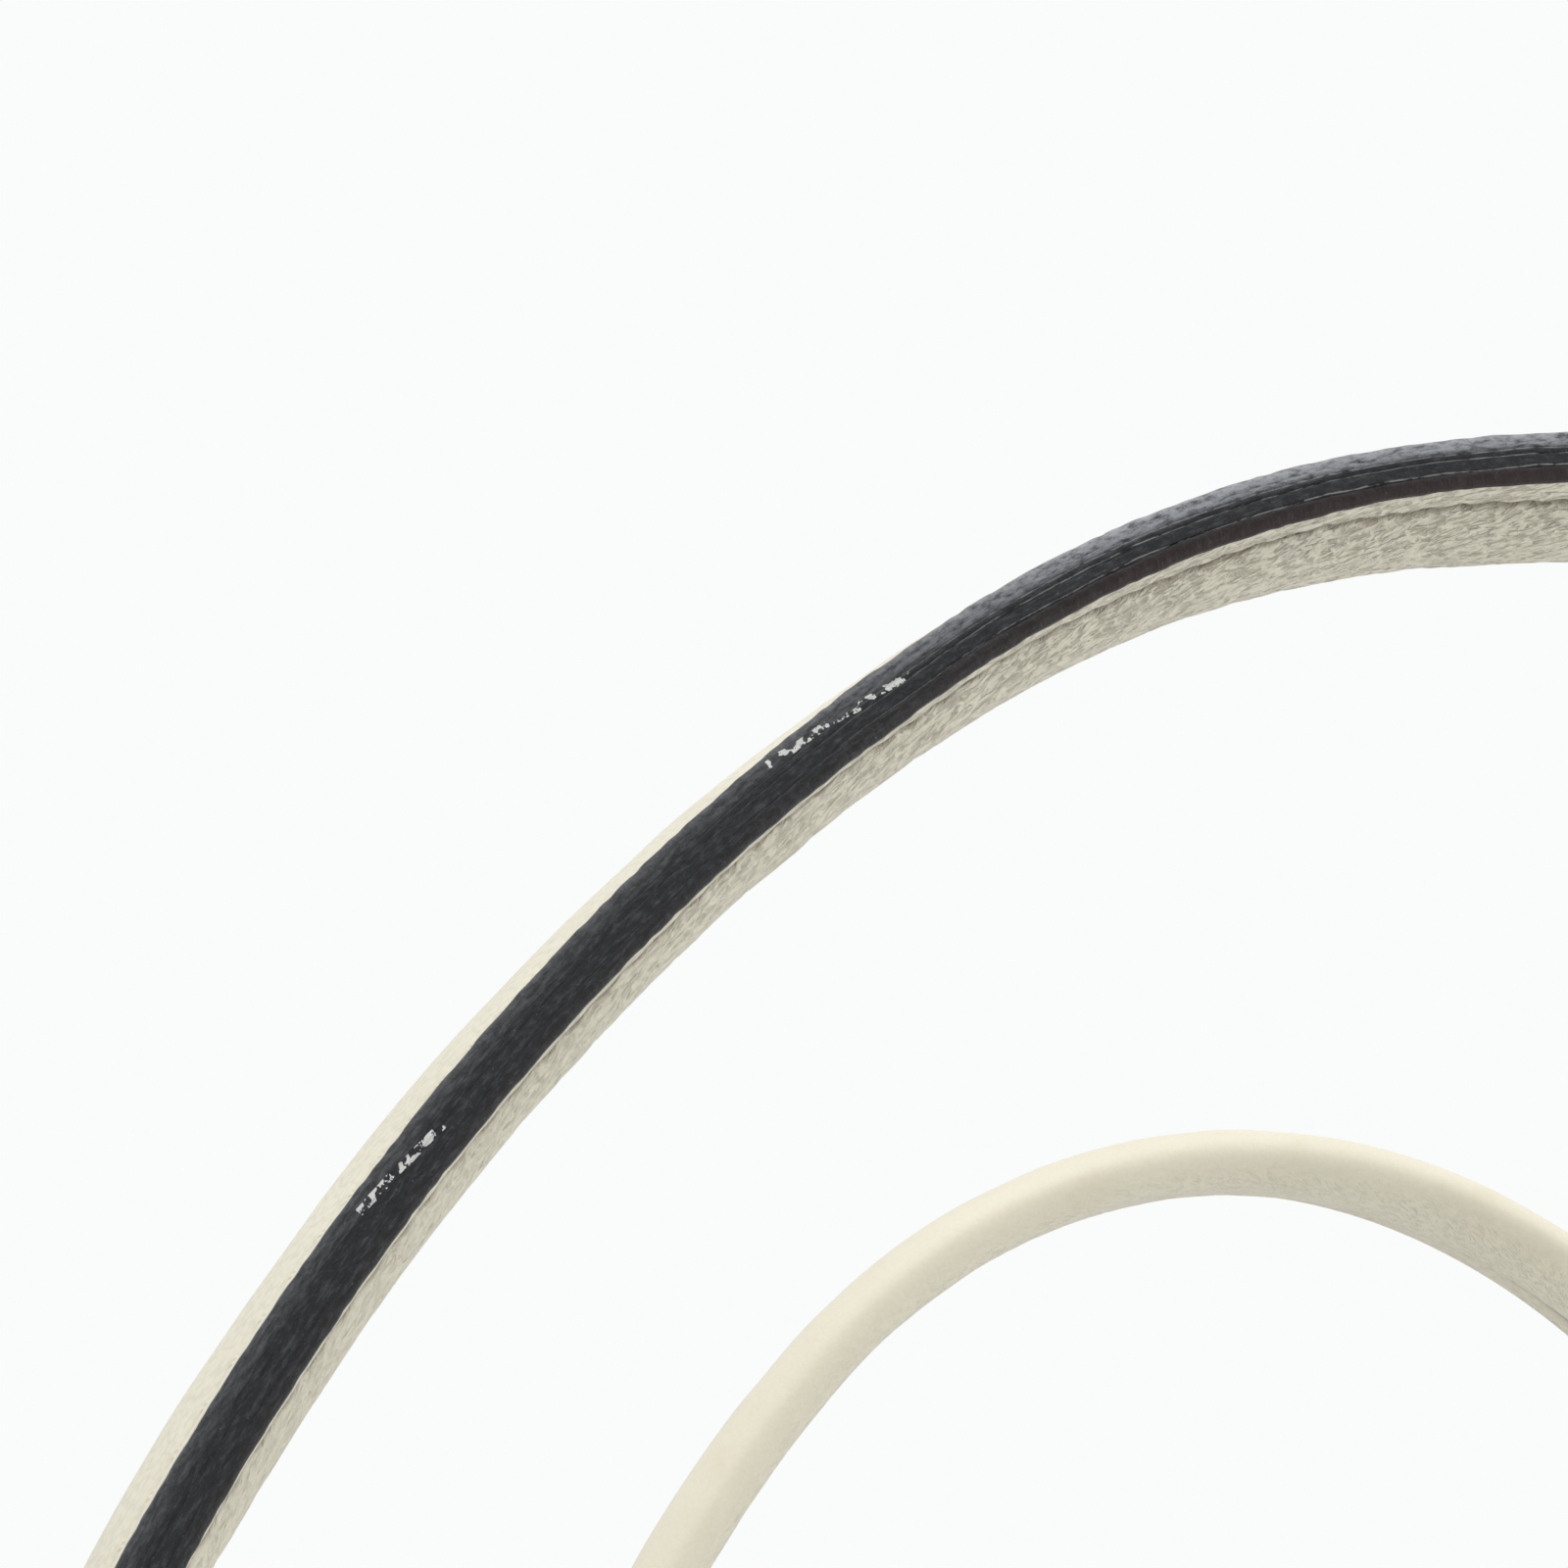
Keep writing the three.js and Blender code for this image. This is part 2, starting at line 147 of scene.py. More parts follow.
def ramp(values: np.ndarray, low: float, high: float) -> np.ndarray:
    """Smooth step from 0 at low to 1 at high."""
    t = np.clip((values - low) / (high - low), 0, 1)
    return t * t * (3 - 2 * t)


# --------------------------------------------------------------------------- mesh making
def even_spacing(line: np.ndarray, count: int) -> np.ndarray:
    """Points spaced evenly along a polyline.

    Args:
        line: rows of coordinates along the line.
        count: number of points wanted, ends included.

    Returns:
        Array of count rows.
    """
    steps = np.r_[0, np.cumsum(np.linalg.norm(np.diff(line, axis=0), axis=1))]
    wanted = np.linspace(0, steps[-1], count)
    return np.stack([np.interp(wanted, steps, line[:, k]) for k in range(line.shape[1])], axis=1)


def weighted_spacing(
    line: np.ndarray, weight: Callable[[np.ndarray, float], np.ndarray], count: int
) -> np.ndarray:
    """Points along a polyline, closer together where a weight is higher.

    Args:
        line: rows of coordinates along the line.
        weight: gives the weight at distances along the line, from them and the whole length.
        count: number of points wanted, ends included.

    Returns:
        Array of count rows.
    """
    fine = even_spacing(line, 1500)
    steps = np.r_[0, np.cumsum(np.linalg.norm(np.diff(fine, axis=0), axis=1))]
    total = np.cumsum(weight(steps, steps[-1]))
    total = (total - total[0]) / (total[-1] - total[0])
    wanted = np.interp(np.linspace(0, 1, count), total, steps)
    return np.stack([np.interp(wanted, steps, fine[:, k]) for k in range(fine.shape[1])], axis=1)


def arc(
    cx: float, cy: float, radius: float, start: float, end: float, count: int
) -> list[tuple[float, float]]:
    """Points along an arc, angles in degrees."""
    angles = np.radians(np.linspace(start, end, count))
    return [(cx + radius * math.cos(a), cy + radius * math.sin(a)) for a in angles]


def sweep_mesh(
    name: str,
    rows: np.ndarray,
    uv: np.ndarray,
    looped: bool = False,
) -> bpy.types.Object:
    """Closed skin over rows of points, each row being a closed ring.

    Args:
        name: name of the object.
        rows: array of rows, ring points and coordinates, in millimetres.
        uv: array of rows and ring points plus one, with two coordinates in metres.
        looped: True where the last row joins the first, else both ends are capped.

    Returns:
        The new object, linked to the scene.
    """
    n, m = rows.shape[:2]
    mesh = bpy.data.meshes.new(name)
    faces, corner_uv = [], []
    for i in range(n if looped else n - 1):
        k = (i + 1) % n
        a = i * m + np.arange(m)
        b = k * m + np.arange(m)
        quads = np.stack([a, np.roll(a, -1), np.roll(b, -1), b], axis=1)
        faces.append(quads)
        j = np.arange(m)
        below, above = uv[i], uv[i + 1] if (looped and i + 1 < len(uv)) or not looped else uv[0]
        corner_uv.append(np.stack([below[j], below[j + 1], above[j + 1], above[j]], axis=1))
    quads = np.concatenate(faces)
    loops = quads.ravel()
    starts = np.arange(len(quads)) * 4
    totals = np.full(len(quads), 4)
    flat_uv = np.concatenate(corner_uv).reshape(-1, 2)
    if not looped:
        first, last = np.arange(m)[::-1], (n - 1) * m + np.arange(m)
        loops = np.r_[loops, first, last]
        starts = np.r_[starts, len(quads) * 4, len(quads) * 4 + m]
        totals = np.r_[totals, m, m]
        flat_uv = np.concatenate([flat_uv, uv[0][:m][::-1], uv[-1][:m]])
    mesh.vertices.add(n * m)
    mesh.vertices.foreach_set("co", (rows.reshape(-1, 3) * MM).astype(np.float32).ravel())
    mesh.loops.add(len(loops))
    mesh.loops.foreach_set("vertex_index", loops.astype(np.int32))
    mesh.polygons.add(len(starts))
    mesh.polygons.foreach_set("loop_start", starts.astype(np.int32))
    mesh.polygons.foreach_set("loop_total", totals.astype(np.int32))
    mesh.update(calc_edges=True)
    layer = mesh.uv_layers.new(name="surface")
    layer.data.foreach_set("uv", flat_uv.astype(np.float32).ravel())
    return finished(name, mesh)


def finished(name: str, mesh: bpy.types.Mesh, smooth: bool = True) -> bpy.types.Object:
    """Puts a mesh right side out, shades it and links it as an object.

    Args:
        name: name of the object.
        mesh: mesh to show.
        smooth: True for smooth shading.

    Returns:
        The new object.
    """
    work = bmesh.new()
    work.from_mesh(mesh)
    bmesh.ops.recalc_face_normals(work, faces=work.faces)
    work.to_mesh(mesh)
    work.free()
    mesh.validate()
    mesh.polygons.foreach_set("use_smooth", [smooth] * len(mesh.polygons))
    piece = bpy.data.objects.new(name, mesh)
    bpy.context.scene.collection.objects.link(piece)
    return piece


def lathe_mesh(
    name: str,
    profile: list[tuple[float, float]],
    axis: Vector,
    origins: list[Vector],
    segments: int = 40,
) -> bpy.types.Object:
    """Turned bodies on parallel axes, as one piece.

    Args:
        name: name of the object.
        profile: radius and height from the lower pole to the upper one.
        axis: direction of the axis.
        origins: where height zero is on each body.
        segments: steps round each body.

    Returns:
        The new object.
    """
    turn = axis.to_track_quat("Z", "Y")
    work = bmesh.new()
    for origin in origins:
        rings = []
        for radius, height in profile:
            if radius < 1e-6:
                rings.append([work.verts.new((origin + turn @ Vector((0, 0, height))) * MM)])
                continue
            ring = []
            for k in range(segments):
                a = 2 * math.pi * k / segments
                point = Vector((radius * math.cos(a), radius * math.sin(a), height))
                ring.append(work.verts.new((origin + turn @ point) * MM))
            rings.append(ring)
        for low, high in zip(rings, rings[1:]):
            for k in range(segments):
                around = (k + 1) % segments
                below = (low[k % len(low)], low[around % len(low)])
                above = (high[around % len(high)], high[k % len(high)])
                work.faces.new(list(dict.fromkeys(below + above)))
    mesh = bpy.data.meshes.new(name)
    work.to_mesh(mesh)
    work.free()
    return finished(name, mesh)


def wire_loop(
    name: str,
    path: np.ndarray,
    radius: float,
    across: Vector,
    up: Vector,
    origin: Vector,
) -> bpy.types.Object:
    """Round wire bent to a flat closed loop.

    Args:
        name: name of the object.
        path: closed middle line in the loop's plane.
        radius: radius of the wire.
        across: direction of the first coordinate of the path.
        up: direction of the second coordinate of the path.
        origin: where the path's zero is.

    Returns:
        The new object.
    """
    ahead = np.roll(path, -1, axis=0) - np.roll(path, 1, axis=0)
    ahead /= np.linalg.norm(ahead, axis=1)[:, None]
    side = np.stack([ahead[:, 1], -ahead[:, 0]], axis=1)
    a, b = np.array(across), np.array(up)
    off_plane = np.cross(a, b)
    angles = np.linspace(0, 2 * math.pi, 20, endpoint=False)
    middle = np.array(origin) + path[:, :1] * a + path[:, 1:] * b
    outward = side[:, :1] * a + side[:, 1:] * b
    rows = (
        middle[:, None, :]
        + radius * np.cos(angles)[None, :, None] * outward[:, None, :]
        + radius * np.sin(angles)[None, :, None] * off_plane[None, None, :]
    )
    run = np.r_[0, np.cumsum(np.linalg.norm(np.diff(path, axis=0), axis=1))] * MM
    around = np.linspace(0, 2 * math.pi * radius, 21) * MM
    uv = np.stack(np.meshgrid(np.r_[run, run[-1]], around, indexing="ij"), axis=2)
    return sweep_mesh(name, rows, uv, looped=True)


def strap_mesh(
    name: str,
    path: np.ndarray,
    thickness: float,
    width: float,
    across: Vector,
    up: Vector,
    origin: Vector,
    rounding: float,
) -> bpy.types.Object:
    """Strip of leather bent along a line, with eased edges and a creased border on both faces.

    Args:
        name: name of the object.
        path: middle line of the strip in the plane it is bent in.
        thickness: of the leather.
        width: of the strip.
        across: direction of the first coordinate of the path.
        up: direction of the second coordinate of the path.
        origin: where the path's zero is.
        rounding: length over which the cut ends narrow.

    Returns:
        The new object.
    """
    ahead = np.gradient(path, axis=0)
    ahead /= np.linalg.norm(ahead, axis=1)[:, None]
    side = np.stack([-ahead[:, 1], ahead[:, 0]], axis=1)
    half, t = width / 2, thickness / 2
    ease = min(0.45 * thickness, 0.8)
    face = np.linspace(-half + ease, half - ease, 34)
    crease = 1 - 0.14 * (bump_at(np.abs(face), half - 1.7, 0.28)) / t
    turns = np.linspace(0.25, 1.35, 5)
    edge = [(half - ease + ease * math.sin(a), t - ease + ease * math.cos(a)) for a in turns]
    right = edge + [(half, 0.0)] + [(x, -y) for x, y in reversed(edge)]
    left = [(-x, -y) for x, y in right]
    ring = [(x, t * c) for x, c in zip(face, crease)] + right
    ring += [(x, -t * c) for x, c in zip(face[::-1], crease[::-1])] + left
    ring = np.array(ring)
    run = np.r_[0, np.cumsum(np.linalg.norm(np.diff(path, axis=0), axis=1))]
    from_end = np.minimum(run, run[-1] - run)
    narrow = 1 - 0.3 * np.clip(1 - from_end / rounding, 0, 1) ** 2.2
    a, b, c = np.array(across), np.array(up), np.cross(np.array(across), np.array(up))
    middle = np.array(origin) + path[:, :1] * a + path[:, 1:] * b
    outward = side[:, :1] * a + side[:, 1:] * b
    rows = (
        middle[:, None, :]
        + (ring[None, :, 0] * narrow[:, None])[:, :, None] * c[None, None, :]
        + ring[None, :, 1][:, :, None] * outward[:, None, :]
    )
    shown = np.r_[ring[:, 0], ring[0, 0]] / half
    uv = np.stack(
        [np.repeat(run[:, None] * MM, len(shown), axis=1), np.repeat(shown[None, :], len(run), axis=0)],
        axis=2,
    )
    return sweep_mesh(name, rows, uv)


# --------------------------------------------------------------------------- shared shader effects
class Effects:
    """Node groups that more than one finish uses, each made once."""

    made: dict[str, bpy.types.ShaderNodeTree] = {}

    @classmethod
    def group(
        cls, name: str, inputs: dict[str, float | str], outputs: dict[str, str]
    ) -> tuple[bpy.types.ShaderNodeTree, bpy.types.Node, bpy.types.Node]:
        """Starts a node group with named sockets.

        Args:
            name: name of the group.
            inputs: default value of each number input, or "vector" for a vector input.
            outputs: kind of each output, "value" or "colour".

        Returns:
            The tree, its input node and its output node.
        """
        kinds = {"value": "NodeSocketFloat", "colour": "NodeSocketColor"}
        tree = bpy.data.node_groups.new(name, "ShaderNodeTree")
        for label, value in inputs.items():
            kind = "NodeSocketVector" if value == "vector" else "NodeSocketFloat"
            socket = tree.interface.new_socket(label, in_out="INPUT", socket_type=kind)
            if value != "vector":
                socket.default_value = value
        for label, kind in outputs.items():
            tree.interface.new_socket(label, in_out="OUTPUT", socket_type=kinds[kind])
        cls.made[name] = tree
        return tree, tree.nodes.new("NodeGroupInput"), tree.nodes.new("NodeGroupOutput")

    @classmethod
    def maths(cls, tree: bpy.types.ShaderNodeTree, operation: str, *values: Number) -> Socket:
        """Adds a maths node.

        Args:
            tree: tree to add to.
            operation: what the node does.
            values: its inputs, each a socket or a number.

        Returns:
            The node's output.
        """
        node = tree.nodes.new("ShaderNodeMath")
        node.operation = operation
        for slot, value in zip(node.inputs, values):
            if isinstance(value, (int, float)):
                slot.default_value = value
            else:
                tree.links.new(value, slot)
        return node.outputs[0]

    @classmethod
    def noise(
        cls,
        tree: bpy.types.ShaderNodeTree,
        vector: Socket,
        scale: Number,
        detail: float = 2.0,
        rough: float = 0.5,
    ) -> Socket:
        """Adds a noise texture.

        Args:
            tree: tree to add to.
            vector: coordinates.
            scale: number, or socket that gives it.
            detail: number of finer layers.
            rough: weight of the finer layers.

        Returns:
            The noise's value.
        """
        node = tree.nodes.new("ShaderNodeTexNoise")
        node.inputs["Detail"].default_value = detail
        node.inputs["Roughness"].default_value = rough
        tree.links.new(vector, node.inputs["Vector"])
        if isinstance(scale, (int, float)):
            node.inputs["Scale"].default_value = scale
        else:
            tree.links.new(scale, node.inputs["Scale"])
        return node.outputs["Fac"]

    @classmethod
    def span(cls, tree: bpy.types.ShaderNodeTree, value: Socket, low: float, high: float) -> Socket:
        """Turns low to high into 0 to 1, clamped and smoothed.

        Args:
            tree: tree to add to.
            value: what is mapped.
            low: value that gives 0.
            high: value that gives 1.

        Returns:
            The mapped value.
        """
        node = tree.nodes.new("ShaderNodeMapRange")
        node.interpolation_type = "SMOOTHSTEP"
        node.inputs["From Min"].default_value = low
        node.inputs["From Max"].default_value = high
        tree.links.new(value, node.inputs["Value"])
        return node.outputs["Result"]

    @classmethod
    def leather_grain(cls) -> bpy.types.ShaderNodeTree:
        """Pebbles of a soft hide: height, how deep between the pebbles, and patches of even tone.

        Returns:
            The node group, with inputs Vector, Pebbles per Metre and Fineness.
        """
        if "leather_grain" in cls.made:
            return cls.made["leather_grain"]
        tree, given, out = cls.group(
            "leather_grain",
            {"Vector": "vector", "Pebbles per Metre": 1100.0, "Fineness": 0.5},
            {"Height": "value", "Valleys": "value", "Tone": "value"},
        )
        vector, scale = given.outputs["Vector"], given.outputs["Pebbles per Metre"]
        wander = tree.nodes.new("ShaderNodeTexNoise")
        wander.inputs["Detail"].default_value = 1.0
        tree.links.new(vector, wander.inputs["Vector"])
        tree.links.new(cls.maths(tree, "MULTIPLY", scale, 0.6), wander.inputs["Scale"])
        shift = tree.nodes.new("ShaderNodeVectorMath")
        shift.operation = "MULTIPLY_ADD"
        tree.links.new(wander.outputs["Color"], shift.inputs[0])
        shift.inputs[1].default_value = (0.0007, 0.0007, 0.0007)
        tree.links.new(vector, shift.inputs[2])
        cell = tree.nodes.new("ShaderNodeTexVoronoi")
        cell.feature = "SMOOTH_F1"
        cell.inputs["Smoothness"].default_value = 0.35
        tree.links.new(shift.outputs[0], cell.inputs["Vector"])
        tree.links.new(scale, cell.inputs["Scale"])
        pebble = cls.maths(tree, "SUBTRACT", 1.0, cell.outputs["Distance"])
        fine = cls.noise(tree, vector, cls.maths(tree, "MULTIPLY", scale, 2.6), 3.0)
        mixed = cls.maths(tree, "MULTIPLY_ADD", fine, given.outputs["Fineness"], pebble)
        tree.links.new(mixed, out.inputs["Height"])
        tree.links.new(cls.span(tree, cell.outputs["Distance"], 0.35, 0.8), out.inputs["Valleys"])
        tone = cls.noise(tree, vector, 55.0, 4.0, 0.6)
        tree.links.new(tone, out.inputs["Tone"])
        return tree

    @classmethod
    def dry_creases(cls) -> bpy.types.ShaderNodeTree:
        """Fine slanting cracks of leather that is bent the hollow way.

        Returns:
            The node group, with inputs Vector, Slant, Cells per Metre and Breadth.
        """
        if "dry_creases" in cls.made:
            return cls.made["dry_creases"]
        tree, given, out = cls.group(
            "dry_creases",
            {"Vector": "vector", "Slant": 0.6, "Cells per Metre": 520.0, "Breadth": 0.1},
            {"Lines": "value"},
        )
        wander = tree.nodes.new("ShaderNodeTexNoise")
        wander.inputs["Scale"].default_value = 420.0
        wander.inputs["Detail"].default_value = 3.0
        tree.links.new(given.outputs["Vector"], wander.inputs["Vector"])
        shift = tree.nodes.new("ShaderNodeVectorMath")
        shift.operation = "MULTIPLY_ADD"
        tree.links.new(wander.outputs["Color"], shift.inputs[0])
        shift.inputs[1].default_value = (0.00035, 0.00035, 0.0)
        tree.links.new(given.outputs["Vector"], shift.inputs[2])
        turn = tree.nodes.new("ShaderNodeVectorRotate")
        turn.rotation_type = "Z_AXIS"
        tree.links.new(shift.outputs[0], turn.inputs["Vector"])
        tree.links.new(given.outputs["Slant"], turn.inputs["Angle"])
        stretch = tree.nodes.new("ShaderNodeVectorMath")
        stretch.operation = "MULTIPLY"
        stretch.inputs[1].default_value = (0.24, 1.35, 1.0)
        tree.links.new(turn.outputs[0], stretch.inputs[0])
        swelling = cls.noise(tree, stretch.outputs[0], given.outputs["Cells per Metre"], 1.0)
        valley = cls.maths(tree, "ABSOLUTE", cls.maths(tree, "MULTIPLY_ADD", swelling, 2.0, -1.0))
        off = cls.maths(tree, "DIVIDE", valley, given.outputs["Breadth"])
        line = cls.maths(tree, "SUBTRACT", 1.0, cls.span(tree, off, 0.0, 1.0))
        here = cls.span(tree, cls.noise(tree, given.outputs["Vector"], 760.0, 3.0, 0.6), 0.38, 0.56)
        tree.links.new(cls.maths(tree, "MULTIPLY", line, here), out.inputs["Lines"])
        return tree

    @classmethod
    def handling_wear(cls) -> bpy.types.ShaderNodeTree:
        """Rubs and specks left by use.

        Returns:
            The node group, with inputs Vector, Rubs per Metre and Specks per Metre.
        """
        if "handling_wear" in cls.made:
            return cls.made["handling_wear"]
        tree, given, out = cls.group(
            "handling_wear",
            {"Vector": "vector", "Rubs per Metre": 160.0, "Specks per Metre": 900.0},
            {"Rubs": "value", "Specks": "value"},
        )
        vector = given.outputs["Vector"]
        rubs = cls.noise(tree, vector, given.outputs["Rubs per Metre"], 5.0, 0.65)
        specks = cls.noise(tree, vector, given.outputs["Specks per Metre"], 2.0, 0.5)
        tree.links.new(cls.span(tree, rubs, 0.48, 0.72), out.inputs["Rubs"])
        tree.links.new(cls.span(tree, specks, 0.66, 0.76), out.inputs["Specks"])
        return tree


class Surface:
    """Material under construction, with the few moves that every finish makes."""

    def __init__(self, name: str, coordinates: str = "UV") -> None:
        """Starts a material with its shader.

        Args:
            name: name of the material.
            coordinates: which texture coordinates its patterns use.
        """
        self.material = bpy.data.materials.new(name)
        self.material.use_nodes = True
        self.tree = self.material.node_tree
        self.shader = self.tree.nodes["Principled BSDF"]
        self.vector = self.tree.nodes.new("ShaderNodeTexCoord").outputs[coordinates]

    def effect(self, group: bpy.types.ShaderNodeTree, **values: float) -> bpy.types.Node:
        """Places a shared effect.

        Args:
            group: node group of the effect.
            values: its inputs, with spaces written as underscores.

        Returns:
            The group node.
        """
        node = self.tree.nodes.new("ShaderNodeGroup")
        node.node_tree = group
        self.tree.links.new(self.vector, node.inputs["Vector"])
        for label, value in values.items():
            node.inputs[label.replace("_", " ")].default_value = value
        return node

    def mix(self, share: Number, first: Colour | Socket, second: Colour | Socket) -> Socket:
        """Mixes two colours.

        Args:
            share: amount of the second, a socket or a number.
            first: colour or socket.
            second: colour or socket.

        Returns:
            The mixed colour.
        """
        node = self.tree.nodes.new("ShaderNodeMix")
        node.data_type = "RGBA"
        for label, value in (("Factor_Float", share), ("A_Color", first), ("B_Color", second)):
            socket = next(s for s in node.inputs if s.identifier == label)
            if isinstance(value, bpy.types.NodeSocket):
                self.tree.links.new(value, socket)
            elif isinstance(value, tuple):
                socket.default_value = (*value, 1.0)
            else:
                socket.default_value = value
        return next(s for s in node.outputs if s.identifier == "Result_Color")

    def maths(self, operation: str, *values: Number) -> Socket:
        """Adds a maths node to this material."""
        return Effects.maths(self.tree, operation, *values)

    def span(self, value: Socket, low: float, high: float) -> Socket:
        """Maps low to high onto 0 to 1 in this material."""
        return Effects.span(self.tree, value, low, high)

    def between(self, share: Socket, low: float, high: float) -> Socket:
        """Number that runs from low to high as a share runs from 0 to 1."""
        return self.maths("MULTIPLY_ADD", share, high - low, low)

    def raised(self, height: Socket, distance: float, strength: float = 1.0) -> None:
        """Feeds a height to the shader's normal.

        Args:
            height: height pattern.
            distance: height in metres that 1 stands for.
            strength: weight of the effect.
        """
        node = self.tree.nodes.new("ShaderNodeBump")
        node.inputs["Distance"].default_value = distance
        node.inputs["Strength"].default_value = strength
        self.tree.links.new(height, node.inputs["Height"])
        self.tree.links.new(node.outputs["Normal"], self.shader.inputs["Normal"])

    def feed(self, socket: str, value: Socket) -> None:
        """Links a value to one of the shader's inputs."""
        self.tree.links.new(value, self.shader.inputs[socket])

    def noise(self, scale: float, detail: float = 2.0, rough: float = 0.5) -> Socket:
        """Noise over this material's own coordinates."""
        return Effects.noise(self.tree, self.vector, scale, detail, rough)

    def parts(self, vector: Socket) -> bpy.types.NodeOutputs:
        """Splits a vector.

        Args:
            vector: socket with the vector.

        Returns:
            Sockets named X, Y and Z.
        """
        node = self.tree.nodes.new("ShaderNodeSeparateXYZ")
        self.tree.links.new(vector, node.inputs[0])
        return node.outputs

    def attribute(self, name: str) -> Socket:
        """Reads a number that a mesh holds at each of its points.

        Args:
            name: name of the number in the mesh.

        Returns:
            Socket with the number.
        """
        node = self.tree.nodes.new("ShaderNodeAttribute")
        node.attribute_name = name
        return node.outputs["Fac"]

    def inverse(self, value: Socket) -> Socket:
        """One less the value."""
        return self.maths("SUBTRACT", 1.0, value)


# --------------------------------------------------------------------------- finishes
@dataclass(frozen=True)
class LeatherFinish:
    """Dyed and lightly waxed hide.

    The painted edge is the black lacquer on the cut sides of a strip; it needs a surface whose
    second coordinate runs from -1 to 1 across the strip.
    """

    name: str
    light: Colour
    deep: Colour
    pebbles: float = 1150.0
    grain_height: float = 0.00012
    roughness: float = 0.5
    sheen: float = 0.15
    painted_edge: bool = False
    hollow_from: float = 0.0
    crease_depth: float = 0.6
    pebble_shade: float = 0.45
    crack: Colour = (0.33, 0.28, 0.205)
    # Colour of the painted shade in the creases, the wrinkles and the groove beside the seam.
    shadow: Colour = (0.22, 0.19, 0.14)
    edge_paint: Colour = (0.02, 0.021, 0.024)
    specular: float = 0.42
    most_bent: tuple[float, float] = (-0.19, -0.08)

    def material(self) -> bpy.types.Material:
        """Makes the material.

        Returns:
            The material.
        """
        s = Surface(self.name, "Object" if self.painted_edge else "UV")
        grain = s.effect(Effects.leather_grain(), Pebbles_per_Metre=self.pebbles, Fineness=0.35)
        wear = s.effect(Effects.handling_wear(), Rubs_per_Metre=70.0, Specks_per_Metre=1500.0)
        tone = s.span(grain.outputs["Tone"], 0.3, 0.75)
        colour = s.mix(tone, self.light, self.deep)
        sunk = tuple(0.82 * c for c in self.deep)
        colour = s.mix(s.maths("MULTIPLY", grain.outputs["Valleys"], self.pebble_shade), colour, sunk)
        soiled = (self.deep[0] * 0.86, self.deep[1] * 0.82, self.deep[2] * 0.74)
        colour = s.mix(s.maths("MULTIPLY", wear.outputs["Rubs"], 0.22), colour, soiled)
        rough = s.between(wear.outputs["Rubs"], self.roughness, self.roughness - 0.1)
        height = grain.outputs["Height"]
        if self.hollow_from:
            lines, height = self.hollow_creases(s, height)
            colour = s.mix(s.maths("MULTIPLY", lines, self.crease_depth), colour, self.crack)
            # Painted shade, read from the mesh: darker in the seam crease, the wrinkles and the groove
            # beside the seam.
            colour = s.mix(s.maths("MULTIPLY", s.attribute("hollow"), 0.8), colour, self.shadow)
        if self.painted_edge:
            place = s.tree.nodes.new("ShaderNodeUVMap")
            place.uv_map = "surface"
            edge = s.span(s.maths("ABSOLUTE", s.parts(place.outputs["UV"])["Y"]), 0.93, 0.955)
            colour = s.mix(edge, colour, self.edge_paint)
            rough = s.maths("MULTIPLY_ADD", edge, -0.12, rough)
        s.feed("Base Color", colour)
        s.feed("Roughness", rough)
        s.shader.inputs["Specular IOR Level"].default_value = self.specular
        s.shader.inputs["Sheen Weight"].default_value = self.sheen
        s.shader.inputs["Sheen Roughness"].default_value = 0.5
        s.raised(height, self.grain_height, 0.8)
        return s.material

    def hollow_creases(self, s: Surface, height: Socket) -> tuple[Socket, Socket]:
        """Cracks on the side that is bent the hollow way, found by distance round the section.

        Args:
            s: material under construction.
            height: height of the grain.

        Returns:
            Mask of the cracks and the height with the cracks cut into it.
        """
        place = s.parts(s.vector)
        hollow = s.span(place["Y"], self.hollow_from, self.hollow_from + 0.006)
        broad = s.effect(Effects.dry_creases(), Slant=-0.42, Cells_per_Metre=820.0, Breadth=0.060)
        small = s.effect(Effects.dry_creases(), Slant=-0.62, Cells_per_Metre=1400.0, Breadth=0.062)
        fainter = s.maths("MULTIPLY", small.outputs["Lines"], 0.75)
        lines = s.maths("MAXIMUM", broad.outputs["Lines"], fainter)
        beside = s.effect(Effects.dry_creases(), Slant=-0.12, Cells_per_Metre=620.0, Breadth=0.11)
        seam_side = s.span(place["Y"], self.hollow_from + 0.0095, self.hollow_from + 0.0145)
        lines = s.maths("MAXIMUM", lines, s.maths("MULTIPLY", beside.outputs["Lines"], seam_side))
        lines = s.maths("MULTIPLY", lines, s.maths("MULTIPLY_ADD", hollow, 0.96, 0.04))
        bent = s.span(place["X"], *self.most_bent)
        lines = s.maths("MULTIPLY", lines, s.between(bent, 0.35, 1.0))
        height = s.maths("MULTIPLY", height, s.between(hollow, 0.35, 1.0))
        return lines, s.maths("MULTIPLY_ADD", lines, -1.6, height)


